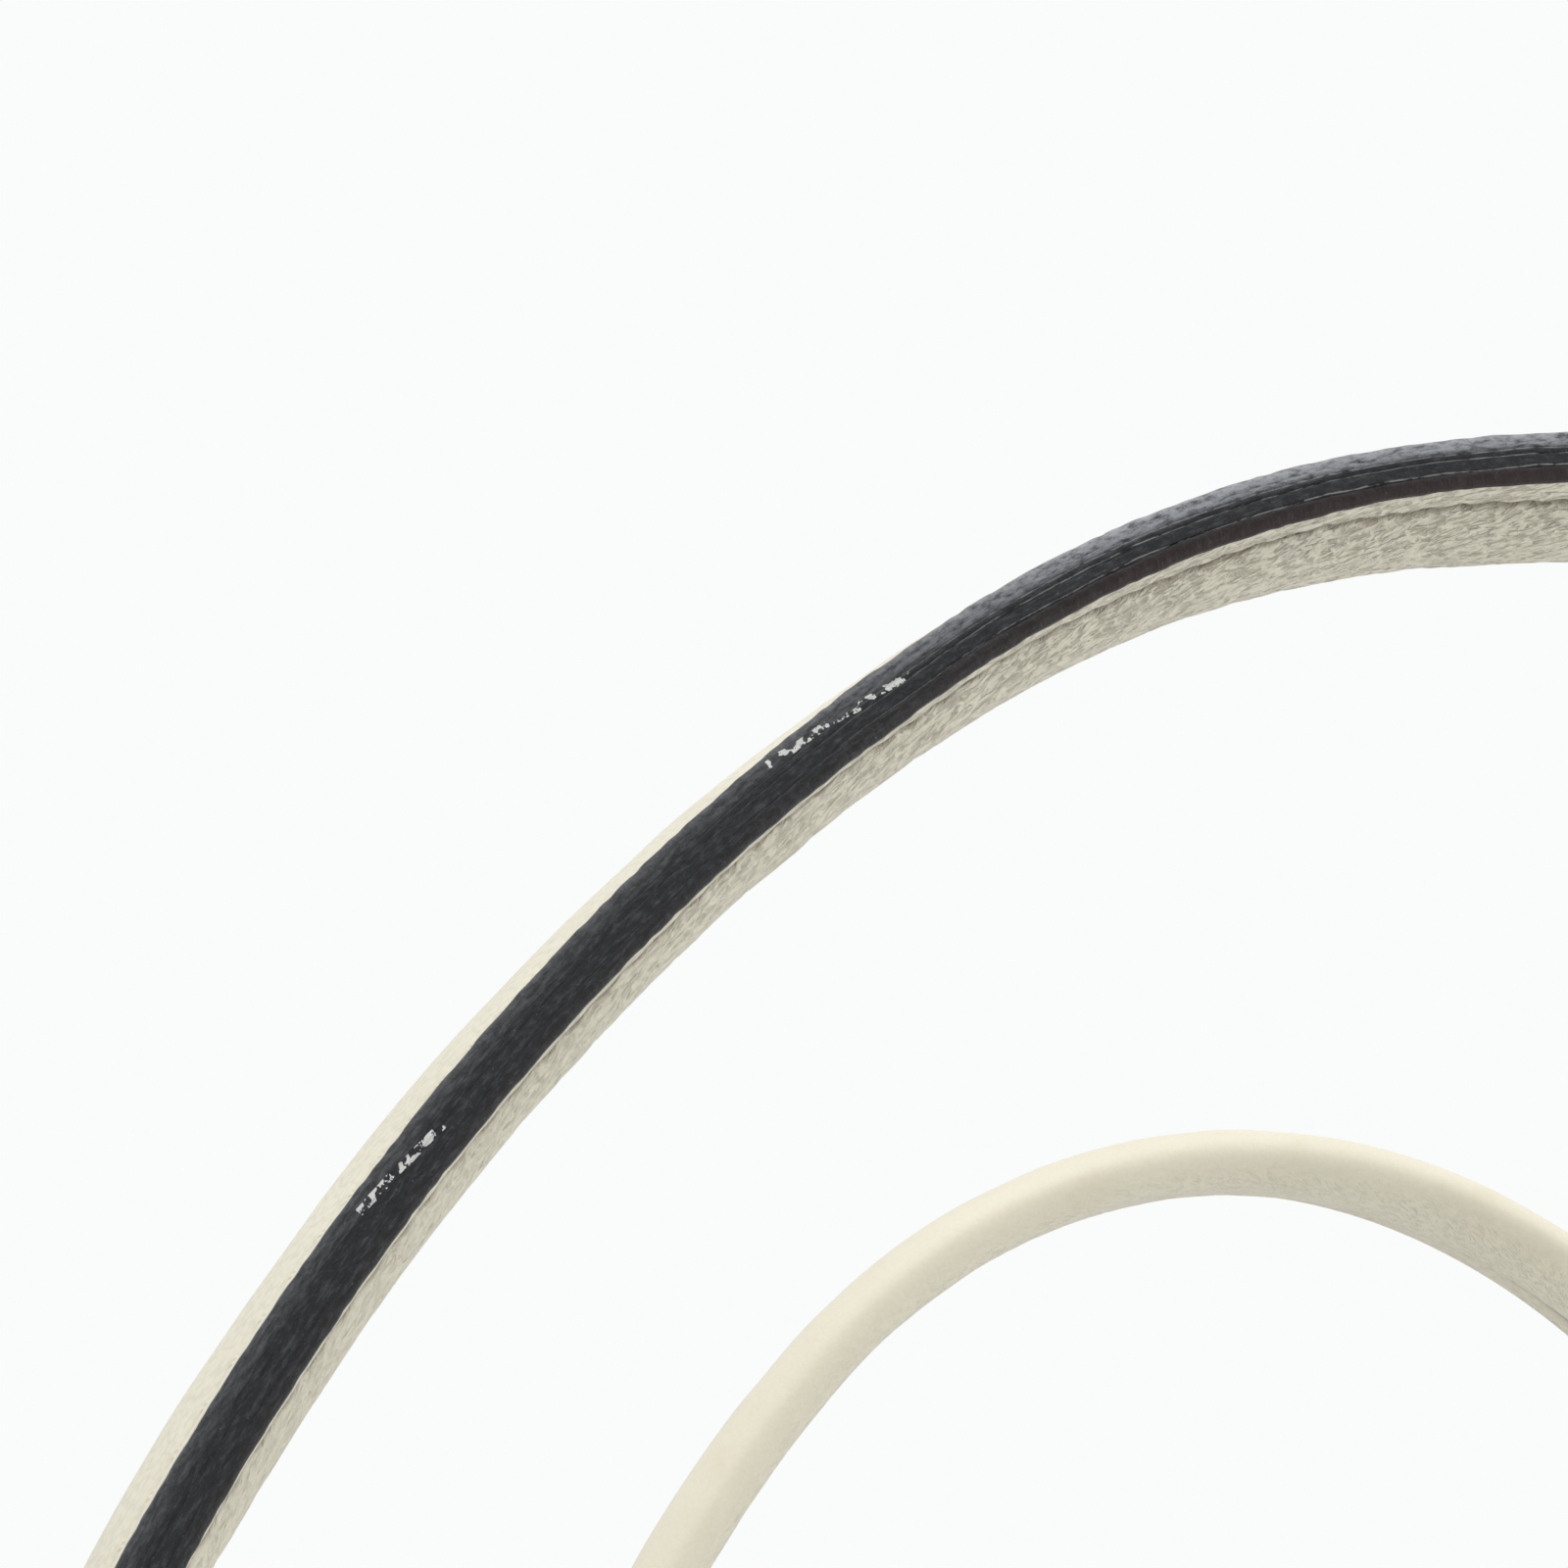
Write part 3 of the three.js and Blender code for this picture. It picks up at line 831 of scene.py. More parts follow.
@dataclass(frozen=True)
class LacquerFinish:
    """Black edge lacquer over the stacked plies, grey and cracked where it has been handled; the grey on
    the upper side of the bead is partly rubbed lacquer and partly a painted highlight.

    Its first coordinate runs along the edge in metres and its second across the plies.
    """

    name: str
    black: Colour = (0.014, 0.015, 0.017)
    # Grey of rubbed lacquer, also used as a painted highlight along the upper side of the bead.
    rubbed_and_highlight: Colour = (0.335, 0.35, 0.375)
    line: Colour = (0.37, 0.375, 0.38)
    brown: Colour = (0.022, 0.0115, 0.010)
    bare: Colour = (0.36, 0.27, 0.21)
    chip: Colour = (0.74, 0.73, 0.70)
    worn_from: float = -0.132
    worn_to: float = 0.02
    plies: tuple[float, ...] = (-0.0010, 0.0002, 0.00078)
    half: float = 0.00225
    chips: tuple[tuple[float, float, float, float], ...] = (
        (-0.1290, 0.00160, -0.1122, 0.00035),
        (-0.1795, 0.00115, -0.1688, 0.00010),
    )
    chips_per_metre: float = 1150.0
    chip_band: tuple[float, float] = (0.00026, 0.00042)
    chip_sway: float = 0.0007
    ply_line: tuple[float, float] = (0.00002, 0.00010)
    ply_sway: float = 0.0006
    specular: float = 0.34

    def chipped(self, s: Surface, run: Socket, over: Socket) -> Socket:
        """Rows of small chips where the lacquer has come off.

        Args:
            s: material under construction.
            run: distance along the edge.
            over: distance across the plies.

        Returns:
            1 in the chips and 0 elsewhere.
        """
        specks = s.span(s.noise(self.chips_per_metre, 3.0, 0.6), 0.515, 0.545)
        sway = s.noise(300.0, 1.0)
        found = None
        for first, low, last, high in self.chips:
            slope = (high - low) / (last - first)
            line = s.maths("MULTIPLY_ADD", s.maths("SUBTRACT", run, first), slope, low - self.chip_sway / 2)
            line = s.maths("MULTIPLY_ADD", sway, self.chip_sway, line)
            off = s.maths("ABSOLUTE", s.maths("SUBTRACT", over, line))
            near = s.inverse(s.span(off, *self.chip_band))
            ending = s.inverse(s.span(run, last - MM, last))
            here = s.maths("MULTIPLY", s.span(run, first, first + MM), ending)
            row = s.maths("MULTIPLY", s.maths("MULTIPLY", near, here), specks)
            found = row if found is None else s.maths("MAXIMUM", found, row)
        return s.span(found, 0.35, 0.65)

    def ply_lines(self, s: Surface, over: Socket) -> Socket:
        """Thin lines where the plies meet under the lacquer.

        Args:
            s: material under construction.
            over: distance across the plies.

        Returns:
            1 on the lines and 0 elsewhere.
        """
        lines = None
        for place in self.plies:
            wander = s.maths("MULTIPLY_ADD", s.noise(110.0, 3.0), self.ply_sway, place - self.ply_sway / 2)
            off = s.maths("ABSOLUTE", s.maths("SUBTRACT", over, wander))
            near = s.inverse(s.span(off, *self.ply_line))
            lines = near if lines is None else s.maths("MAXIMUM", lines, near)
        return lines

    def material(self) -> bpy.types.Material:
        """Makes the material.

        Returns:
            The material.
        """
        s = Surface(self.name)
        place = s.parts(s.vector)
        run, over = place["X"], place["Y"]
        wear = s.effect(Effects.handling_wear(), Rubs_per_Metre=260.0, Specks_per_Metre=2300.0)
        stretched = s.tree.nodes.new("ShaderNodeVectorMath")
        stretched.operation = "MULTIPLY"
        stretched.inputs[1].default_value = (1.0, 4.0, 1.0)
        s.tree.links.new(s.vector, stretched.inputs[0])
        streak = Effects.noise(s.tree, stretched.outputs[0], 620.0, 6.0, 0.7)
        unworn = s.span(run, self.worn_to, self.worn_to + 0.05)
        handled = s.maths("MULTIPLY", s.span(run, self.worn_from, self.worn_from + 0.05), s.inverse(unworn))
        little = s.maths("MULTIPLY_ADD", handled, 0.88, 0.12)
        # Grey on the upper side of the bead where handled: partly rubbed lacquer, partly painted highlight
        # where light falls from above.
        rim = s.span(over, self.half * 0.22, self.half * 0.62)
        rubbed_and_highlight = s.maths("MULTIPLY", s.maths("MULTIPLY", rim, little), s.span(streak, 0.28, 0.60))
        colour = s.mix(s.maths("MULTIPLY", s.span(streak, 0.45, 0.75), 0.16), self.black, self.rubbed_and_highlight)
        inner = s.maths("MULTIPLY", s.span(over, -self.half * 0.35, -self.half * 0.75), 0.9)
        colour = s.mix(s.maths("MULTIPLY", inner, little), colour, self.brown)
        colour = s.mix(rubbed_and_highlight, colour, self.rubbed_and_highlight)
        edge = s.maths("MULTIPLY", s.span(over, self.half * 0.90, self.half * 0.99), handled)
        colour = s.mix(s.maths("MULTIPLY", edge, 0.6), colour, self.bare)
        lines = self.ply_lines(s, over)
        broken = s.maths("MULTIPLY", s.span(streak, 0.4, 0.55), handled)
        colour = s.mix(s.maths("MULTIPLY", s.maths("MULTIPLY", lines, broken), 0.8), colour, self.line)
        colour = s.mix(s.maths("MULTIPLY", wear.outputs["Specks"], 0.12), colour, self.line)
        colour = s.mix(self.chipped(s, run, over), colour, self.chip)
        s.feed("Base Color", colour)
        s.feed("Roughness", s.between(streak, 0.36, 0.62))
        s.shader.inputs["Specular IOR Level"].default_value = self.specular
        pits = s.noise(1000.0, 5.0, 0.6)
        uneven = s.maths("MULTIPLY_ADD", streak, 0.6, s.maths("MULTIPLY", pits, 1.6))
        s.raised(s.maths("MULTIPLY_ADD", lines, -0.7, uneven), 0.00014, 1.0)
        return s.material


@dataclass(frozen=True)
class ThreadFinish:
    """Waxed sewing thread, laid from three twisted strands."""

    name: str
    light: Colour
    deep: Colour

    def material(self) -> bpy.types.Material:
        """Makes the material.

        Returns:
            The material.
        """
        s = Surface(self.name, "Object")
        strands = s.tree.nodes.new("ShaderNodeTexWave")
        strands.bands_direction = "DIAGONAL"
        strands.inputs["Scale"].default_value = 700.0
        strands.inputs["Distortion"].default_value = 1.5
        s.tree.links.new(s.vector, strands.inputs["Vector"])
        s.feed("Base Color", s.mix(strands.outputs["Fac"], self.deep, self.light))
        s.feed("Roughness", s.between(strands.outputs["Fac"], 0.7, 0.5))
        s.raised(strands.outputs["Fac"], 0.00006)
        return s.material


@dataclass(frozen=True)
class MetalFinish:
    """Plated or plain metal with fine handling marks."""

    name: str
    colour: Colour
    dull: Colour
    roughness: float

    def material(self) -> bpy.types.Material:
        """Makes the material.

        Returns:
            The material.
        """
        s = Surface(self.name, "Object")
        wear = s.effect(Effects.handling_wear(), Rubs_per_Metre=180.0, Specks_per_Metre=1300.0)
        fine = s.noise(2600.0, 3.0)
        marks = s.maths("MULTIPLY", wear.outputs["Rubs"], 0.5)
        s.feed("Base Color", s.mix(marks, self.colour, self.dull))
        s.feed("Roughness", s.between(wear.outputs["Rubs"], self.roughness, self.roughness + 0.14))
        s.shader.inputs["Metallic"].default_value = 1.0
        s.raised(s.maths("MULTIPLY_ADD", wear.outputs["Specks"], 0.5, fine), 0.000015)
        return s.material


@dataclass(frozen=True)
class FeltFinish:
    """Padding and raw leather board: dull, fibrous stuff that shows only at cut ends."""

    name: str
    light: Colour
    deep: Colour

    def material(self) -> bpy.types.Material:
        """Makes the material.

        Returns:
            The material.
        """
        s = Surface(self.name, "Object")
        fibre = s.noise(1800.0, 6.0, 0.7)
        s.feed("Base Color", s.mix(s.span(fibre, 0.3, 0.7), self.deep, self.light))
        s.feed("Roughness", s.between(fibre, 0.85, 0.98))
        s.raised(fibre, 0.0002)
        return s.material


CREAM = LeatherFinish(
    "cream_handle_leather", (0.80, 0.762, 0.618), (0.755, 0.713, 0.57), 1350.0, 0.00022, hollow_from=0.0225
)
CALM_CREAM = LeatherFinish(
    "cream_calm_leather", (0.80, 0.757, 0.61), (0.775, 0.73, 0.583), 1500.0, 0.00007, hollow_from=0.0225,
    crease_depth=0.06, pebble_shade=0.12,
)
TAB_CREAM = LeatherFinish(
    "cream_tab_leather", (0.79, 0.75, 0.605), (0.72, 0.675, 0.53), 1500.0, 0.00006, painted_edge=True
)
LACQUER = LacquerFinish("black_edge_lacquer")
THREAD = ThreadFinish("cream_waxed_thread", (0.84, 0.79, 0.65), (0.62, 0.56, 0.43))
NICKEL = MetalFinish("polished_nickel", (0.72, 0.71, 0.69), (0.5, 0.49, 0.47), 0.2)
STEEL = MetalFinish("plain_steel_plate", (0.5, 0.51, 0.52), (0.33, 0.33, 0.34), 0.42)
FELT = FeltFinish("padding_felt", (0.62, 0.6, 0.55), (0.4, 0.38, 0.34))
BOARD = FeltFinish("leather_board_ply", (0.42, 0.29, 0.18), (0.24, 0.15, 0.09))
Finish = LeatherFinish | LacquerFinish | ThreadFinish | MetalFinish | FeltFinish


class Workshop:
    """Materials, each made the first time that it is asked for."""

    shelf: dict[str, bpy.types.Material] = {}

    @classmethod
    def dress(cls, piece: bpy.types.Object, finish: Finish) -> None:
        """Gives a piece its finish.

        Args:
            piece: object to dress.
            finish: one of the finishes.
        """
        if finish.name not in cls.shelf:
            cls.shelf[finish.name] = finish.material()
        piece.data.materials.clear()
        piece.data.materials.append(cls.shelf[finish.name])


# --------------------------------------------------------------------------- arches
@dataclass
class Arch:
    """Middle line of a handle: arcs from the crown down a leg, then a straight end."""

    arcs: tuple[tuple[float, float], ...]
    rise: float
    end_lean: float = 84.0
    straight_end: float = 30.0
    legs: list[tuple[float, float]] = field(default_factory=list)

    def __post_init__(self) -> None:
        """Adds the arc that brings the leg to its end."""
        start, drop = 0.0, 0.0
        for radius, to in self.arcs:
            drop += radius * (math.cos(start) - math.cos(math.radians(to)))
            start = math.radians(to)
        lean = math.radians(self.end_lean)
        bend = self.rise - drop - self.straight_end * math.sin(lean)
        last = bend / (math.cos(start) - math.cos(lean))
        self.legs = [*self.arcs, (last, self.end_lean)]

    @property
    def leg_length(self) -> float:
        """Length of one leg.

        Returns:
            Distance along the middle line from the crown to the cut end.
        """
        length, start = self.straight_end, 0.0
        for radius, to in self.legs:
            length += radius * (math.radians(to) - start)
            start = math.radians(to)
        return length

    def at(self, distance: np.ndarray) -> tuple[np.ndarray, np.ndarray, np.ndarray]:
        """Place and slope of the middle line.

        Args:
            distance: distances from the crown, positive to the right.

        Returns:
            Sideways place, height against the crown, and slope in radians.
        """
        side = np.where(distance < 0, -1.0, 1.0)
        left = np.abs(distance)
        slope, x, z = np.zeros_like(left), np.zeros_like(left), np.zeros_like(left)
        for radius, to in self.legs:
            angle = slope + np.minimum(left / radius, math.radians(to) - slope)
            x += radius * (np.sin(angle) - np.sin(slope))
            z -= radius * (np.cos(slope) - np.cos(angle))
            left = left - (angle - slope) * radius
            slope = angle
        x += left * np.cos(slope)
        z -= left * np.sin(slope)
        return side * x, z, -side * slope


# --------------------------------------------------------------------------- a handle
@dataclass(frozen=True)
class SkinRelief:
    """Heights, depths and lengths of what stands off the plain skin, in millimetres."""

    crease: float = 0.22
    hollow_crease: float = 0.36
    crease_width: float = 0.30
    crease_valley: float = 0.12
    scallop: float = 0.26
    wander: float = 0.7
    wander_length: float = 8.0
    flange: float = 0.12
    stitch_pull: float = 0.12
    pucker: float = 0.10
    fold: float = 0.15
    fine_fold: float = 0.09
    seam_band: float = 0.22
    fold_spacing: float = 2.9
    fold_length: float = 5.5
    band_spacing: float = 1.1
    band_length: float = 7.5
    swell: float = 0.20
    padding_crown: float = 0.40
    padding_valley: float = 0.34


@dataclass
class RolledHandle:
    """Padded leather handle: folded skin, lacquered raw edge and sewn seam."""

    place: Place
    arch: Arch
    crown: float
    middle: float
    wrap_depth: float = 20.2
    seam_thickness: float = 4.5
    body_thickness: float = 8.8
    leather: float = 1.15
    stitch_inset: float = 4.6
    stitch_pitch: float = 3.8
    thread: float = 0.62
    lacquer_depth: float = 1.0
    row_spacing: float = 0.72
    bead_rounding: float = 0.35
    bead_spread: float = 0.0
    bead_shy: float = 0.0
    wrinkling: float = 1.0
    plumpness: float = 0.3
    finish: LeatherFinish = CREAM
    skin: SkinRelief = SkinRelief()
    handled: tuple[float, float, float, float] = (-140.0, -70.0, -20.0, 60.0)
    ridges: tuple[tuple[float, float], ...] = ((-1.0, 0.26), (0.2, 0.2), (0.78, 0.14))
    seed: int = 3

    @property
    def body(self) -> str:
        """Name of the moving body that the handle rides on."""
        return f"{self.place.word}_handle"

    def outside(self) -> list[tuple[float, float]]:
        """Corners of the upper outside of the skin.

        Returns:
            Depths and heights, from the raw edge to the fold.
        """
        seam, body, depth = self.seam_thickness / 2, self.body_thickness / 2, self.wrap_depth
        core = depth - 6.6
        return [
            (0.0, seam),
            (self.stitch_inset, seam + 0.4),
            (8.2, body - 0.75),
            (core - 2.6, body - 0.1),
            (core + 0.4, body),
            (depth - 3.4, body - 0.6),
            (depth - 1.2, body - 2.1),
            (depth - 0.2, body - 3.6),
        ]

    def ring_weight(self, along: np.ndarray, whole: float) -> np.ndarray:
        """Weight of the section's points: higher at the seam creases and inside the arch.

        Args:
            along: distances from the upper raw edge.
            whole: length of the outside of the section.

        Returns:
            One weight for each distance.
        """
        creases = bump_at(along, self.stitch_inset, 0.9) + bump_at(along, whole - self.stitch_inset, 0.9)
        return 1 + 1.2 * ramp(along, 0.45 * whole, 0.6 * whole) + 4 * creases

    def ring(self) -> tuple[np.ndarray, np.ndarray, np.ndarray]:
        """Section of the skin: outside from raw edge to raw edge, then back along the inside.

        Returns:
            Points, outward directions, and 1 for each point of the outside and 0 for the inside.
        """
        upper = self.outside()
        whole = np.array(upper + [(x, -y) for x, y in reversed(upper)])
        dense = []
        for i in range(len(whole) - 1):
            a, b, c, d = whole[max(i - 1, 0)], whole[i], whole[i + 1], whole[min(i + 2, len(whole) - 1)]
            for t in np.linspace(0, 1, 16, endpoint=False):
                dense.append(
                    0.5 * (2 * b + (c - a) * t + (2 * a - 5 * b + 4 * c - d) * t**2
                           + (3 * b - a - 3 * c + d) * t**3)
                )
        outer = weighted_spacing(np.array([*dense, whole[-1]]), self.ring_weight, 106)
        ahead = np.gradient(outer, axis=0)
        ahead /= np.linalg.norm(ahead, axis=1)[:, None]
        outward = np.stack([-ahead[:, 1], ahead[:, 0]], axis=1)
        pick = np.linspace(0, len(outer) - 1, 16).astype(int)[::-1]
        inner = outer[pick] - outward[pick] * self.leather
        inner[0, 0] = inner[-1, 0] = 0.0
        points = np.concatenate([outer, inner])
        away = np.concatenate([outward, -outward[pick]])
        return points, away, np.r_[np.ones(len(outer)), np.zeros(len(inner))]

    def place_points(self, run: np.ndarray, depth: np.ndarray, height: np.ndarray) -> np.ndarray:
        """Points in the part's frame from distances along, across and off the middle line.

        Args:
            run: distance from the crown.
            depth: distance from the raw edge towards the fold.
            height: distance off the middle line, away from the inside of the arch.

        Returns:
            Array of the same shape with three coordinates.
        """
        x, z, slope = self.arch.at(run)
        facing = self.place.facing
        edge = self.middle - facing * self.wrap_depth / 2
        return np.stack(
            [x - np.sin(slope) * height, edge + facing * depth, self.crown + z + np.cos(slope) * height],
            axis=-1,
        )

    def relief(
        self, run: np.ndarray, depth: np.ndarray, height: np.ndarray
    ) -> tuple[np.ndarray, np.ndarray]:
        """How far the skin stands off its plain section: seam crease, puckers, wrinkles and swellings.

        Args:
            run: distance from the crown.
            depth: distance from the raw edge.
            height: plain height, whose sign tells the outer side of the arch from the inner.

        Returns:
            Distance outwards, and how far each point lies in a crease, from 0 to 1.
        """
        skin = self.skin
        inner = ramp(-height, 0.2, 1.6)
        rough = Unevenness(self.seed)
        broad = Unevenness(self.seed + 7)
        away = np.where(height < 0, 31.0, 0.0)
        phase = run / self.stitch_pitch * 2 * math.pi
        wander = skin.wander * (broad.at(run / skin.wander_length, away + 3.0) - 0.5)
        scallop = skin.scallop * np.abs(np.sin(phase / 2)) + wander
        line = self.stitch_inset - 0.1 + scallop * (0.3 + 0.7 * inner)
        crease = -(skin.crease + skin.hollow_crease * inner) * bump_at(depth, line, skin.crease_width)
        crease -= skin.crease_valley * bump_at(depth, line + 0.3, 1.0)
        flange = -skin.flange * ramp(line - depth, 0.1, 0.8) * inner
        pull = -skin.stitch_pull * (0.5 + 0.5 * np.cos(phase)) * bump_at(depth, line, 0.6)
        pucker = skin.pucker * (1 + inner) * np.sin(phase / 2) ** 2 * bump_at(depth, line + 1.0, 0.8)
        slant = run + 0.75 * depth + 1.2 * (broad.at(run / 2.5, depth / 2.5 + away) - 0.5)
        slant /= skin.fold_spacing
        across = (depth - 0.75 * run) / skin.fold_length
        folds = skin.fold * rough.folds(slant, across + away, 8.0)
        folds += skin.fine_fold * rough.folds(slant * 1.55 + 9.0, across * 1.5 + away, 6.0)
        band_run = (run + 0.35 * depth) / skin.band_length + 40.0
        bands = rough.folds(band_run, (depth - 0.10 * run) / skin.band_spacing + away, 9.0)
        folds += skin.seam_band * bands * ramp(self.stitch_inset + 8.0 - depth, 0.0, 5.0)
        body = ramp(depth, self.stitch_inset + 0.3, self.stitch_inset + 1.6)
        body *= ramp(self.wrap_depth - depth, 0.3, 3.0)
        wrinkle = -folds * body * (0.08 + 0.92 * inner) * self.wrinkling
        swell = skin.swell * (broad.at(run / 7.0 + away, depth / 6.0) - 0.5) * body + flange
        plump = skin.padding_crown * bump_at(depth, self.stitch_inset + 4.6, 2.4)
        plump -= skin.padding_valley * bump_at(depth, line + 0.7, 0.9)
        plump *= self.plumpness * inner
        # Painted shade for the skin's colour: deepest in the seam crease and the wrinkles, and along the
        # groove beside the seam.
        hollow = np.clip(-(1.9 * crease + 0.75 * wrinkle) / 0.5 - 0.26, 0, 1) * (0.25 + 0.75 * inner)
        hollow = np.maximum(hollow, 0.5 * self.plumpness * inner * bump_at(depth, line + 1.0, 1.5))
        return crease + pull + pucker + wrinkle + swell + plump, np.clip(hollow, 0, 1)

    def build_skin(self) -> bpy.types.Object:
        """Folded leather skin of the handle.

        Returns:
            The piece.
        """
        points, away, outer = self.ring()
        leg = self.arch.leg_length
        run = np.linspace(-leg, leg, int(2 * leg / self.row_spacing) + 1)
        s = np.repeat(run[:, None], len(points), axis=1)
        w = np.repeat(points[None, :, 0], len(run), axis=0)
        h = np.repeat(points[None, :, 1], len(run), axis=0)
        lift, hollow = self.relief(s, w, h)
        lift = lift * outer[None, :]
        lift *= ramp(leg - np.abs(s), 20.0, 34.0) * 0.85 + 0.15
        rows = self.place_points(s, w + lift * away[None, :, 0], h + lift * away[None, :, 1])
        steps = np.diff(np.vstack([points, points[:1]]), axis=0)
        around = np.r_[0, np.cumsum(np.linalg.norm(steps, axis=1))]
        uv = np.stack(np.meshgrid(run * MM, around * MM, indexing="ij"), axis=2)
        piece = sweep_mesh(f"{self.place.word}_rolled_skin", rows, uv)
        # Stores the painted shade in the mesh for the material to darken the colour.
        shade = piece.data.attributes.new("hollow", "FLOAT", "POINT")
        shade.data.foreach_set("value", (hollow * outer[None, :]).astype(np.float32).ravel())
        Workshop.dress(piece, self.finish)
        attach(piece, self.body)
        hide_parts(f"{self.place.word}_leather_wrap")
        return piece

    def build_lacquer(self) -> bpy.types.Object:
        """Bead of lacquer over the raw edge, with the plies showing as ridges in it.

        Returns:
            The piece.
        """
        half = self.seam_thickness / 2 - self.bead_shy
        over = np.sin(np.linspace(math.pi / 2, -math.pi / 2, 34)) * 0.55 + np.linspace(1, -1, 34) * 0.45
        over *= half
        from_rim = np.clip((half - np.abs(over)) / self.bead_rounding, 0, 1)
        crown = 0.12 + (self.lacquer_depth - 0.12) * np.sqrt(1 - (1 - from_rim) ** 2)
        front = np.stack([-crown, over], axis=1)
        back = np.array([(0.14, h) for h in (-half + 0.05, -half * 0.4, half * 0.4, half - 0.05)])
        points = np.concatenate([front, back])
        shown = np.r_[np.ones(len(front)), np.zeros(len(back))]
        leg = self.arch.leg_length - 0.3
        run = np.linspace(-leg, leg, int(2 * leg / self.row_spacing * 1.6) + 1)
        s = np.repeat(run[:, None], len(points), axis=1)
        w = np.repeat(points[None, :, 0], len(run), axis=0)
        h = np.repeat(points[None, :, 1], len(run), axis=0)
        rough = Unevenness(self.seed + 20)
        fine = Unevenness(self.seed + 21)
        first, full, fading, last = self.handled
        worn = 0.06 + 0.94 * ramp(s, first, full) * ramp(-s, -last, -fading)
        grooves = sum(
            deep * bump_at(h, place + 0.3 * (rough.at(s / 9.0, h * 0 + place * 5) - 0.5), 0.10)
            for place, deep in self.ridges
        )
        dents = rough.at((s + 1.5 * h) / 1.5, (h - 0.3 * s) / 0.9)
        lift = (grooves * worn + 0.13 * dents + 0.06 * fine.at(s / 0.9, h / 0.45)) * shown[None, :]
        w = w + lift
        spread = self.bead_spread * ramp(s, -190.0, -90.0) * ramp(-s, -120.0, -20.0)
        frayed = 0.035 * (rough.at(s / 4.5, h * 0 + 2.0) - 0.5)
        frayed += 0.05 * (fine.at(s / 1.0, h * 0 + 8.0) - 0.5)
        ragged = 1 + shown[None, :] * ramp(np.abs(h), half - 0.7, half) * (spread + frayed)
        rows = self.place_points(s, w, h * ragged)
        side = np.r_[over, back[:, 1], over[0]] * MM
        uv = np.stack(np.meshgrid(run * MM, side, indexing="ij"), axis=2)
        piece = sweep_mesh(f"{self.place.word}_lacquered_edge", rows, uv)
        Workshop.dress(piece, LACQUER)
        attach(piece, self.body)
        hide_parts(f"{self.place.word}_edge_lacquer")
        return piece

    def build_stitches(self, upper: bool) -> bpy.types.Object:
        """Row of stitches sunk in the seam crease on one side.

        Args:
            upper: True for the side away from the inside of the arch.

        Returns:
            The piece.
        """
        sign = 1 if upper else -1
        leg = self.arch.leg_length
        first = math.ceil((30.0 - leg) / self.stitch_pitch)
        starts = np.arange(first, -first) * self.stitch_pitch
        ring = np.linspace(0, 2 * math.pi, 8, endpoint=False)
        along = np.linspace(-1, 1, 7)
        profile = np.sqrt(np.clip(1 - np.abs(along) ** 3, 0.02, 1))
        height = self.seam_thickness / 2 + 0.4
        work_points, faces = [], []
        for k, start in enumerate(starts):
            length = self.stitch_pitch * 0.39
            slant = 0.16 * sign
            run = start + self.stitch_pitch / 2 + along * length
            arch_up = height - (0.30 if upper else 0.76) - 0.42 * np.abs(along) ** 2.4
            s = np.repeat(run[:, None], len(ring), axis=1)
            thick = self.thread / 2 * profile[:, None]
            w = self.stitch_inset + slant * along[:, None] + thick * np.cos(ring)[None, :]
            h = sign * (arch_up[:, None] + thick * np.sin(ring)[None, :])
            base = k * len(along) * len(ring)
            work_points.append(self.place_points(s, w, h).reshape(-1, 3))
            for i in range(len(along) - 1):
                for j in range(len(ring)):
                    n = (j + 1) % len(ring)
                    row, above = base + i * len(ring), base + (i + 1) * len(ring)
                    faces.append((row + j, row + n, above + n, above + j))
            faces.append(tuple(base + j for j in reversed(range(len(ring)))))
            faces.append(tuple(base + (len(along) - 1) * len(ring) + j for j in range(len(ring))))
        name = f"{self.place.word}_stitches_{'outer' if upper else 'inner'}"
        mesh = bpy.data.meshes.new(name)
        mesh.from_pydata((np.concatenate(work_points) * MM).tolist(), [], faces)
        piece = finished(name, mesh)
        Workshop.dress(piece, THREAD)
        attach(piece, self.body)
        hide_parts(f"{self.place.word}_thread_{'outer' if upper else 'inner'}")
        return piece

    def dress_inside(self) -> None:
        """Finishes the padding and the plies, which stay as packed."""
        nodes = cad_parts
        Workshop.dress(nodes[f"{self.place.word}_core"], FELT)
        Workshop.dress(nodes[f"{self.place.word}_ply_upper"], BOARD)
        Workshop.dress(nodes[f"{self.place.word}_ply_lower"], BOARD)

    def build(self) -> None:
        """Builds and dresses every piece of the handle."""
        pieces = [self.build_skin(), self.build_lacquer()]
        pieces += [self.build_stitches(True), self.build_stitches(False)]
        for piece in pieces:
            log.info("%s: %d faces", piece.name, len(piece.data.polygons))
        self.dress_inside()


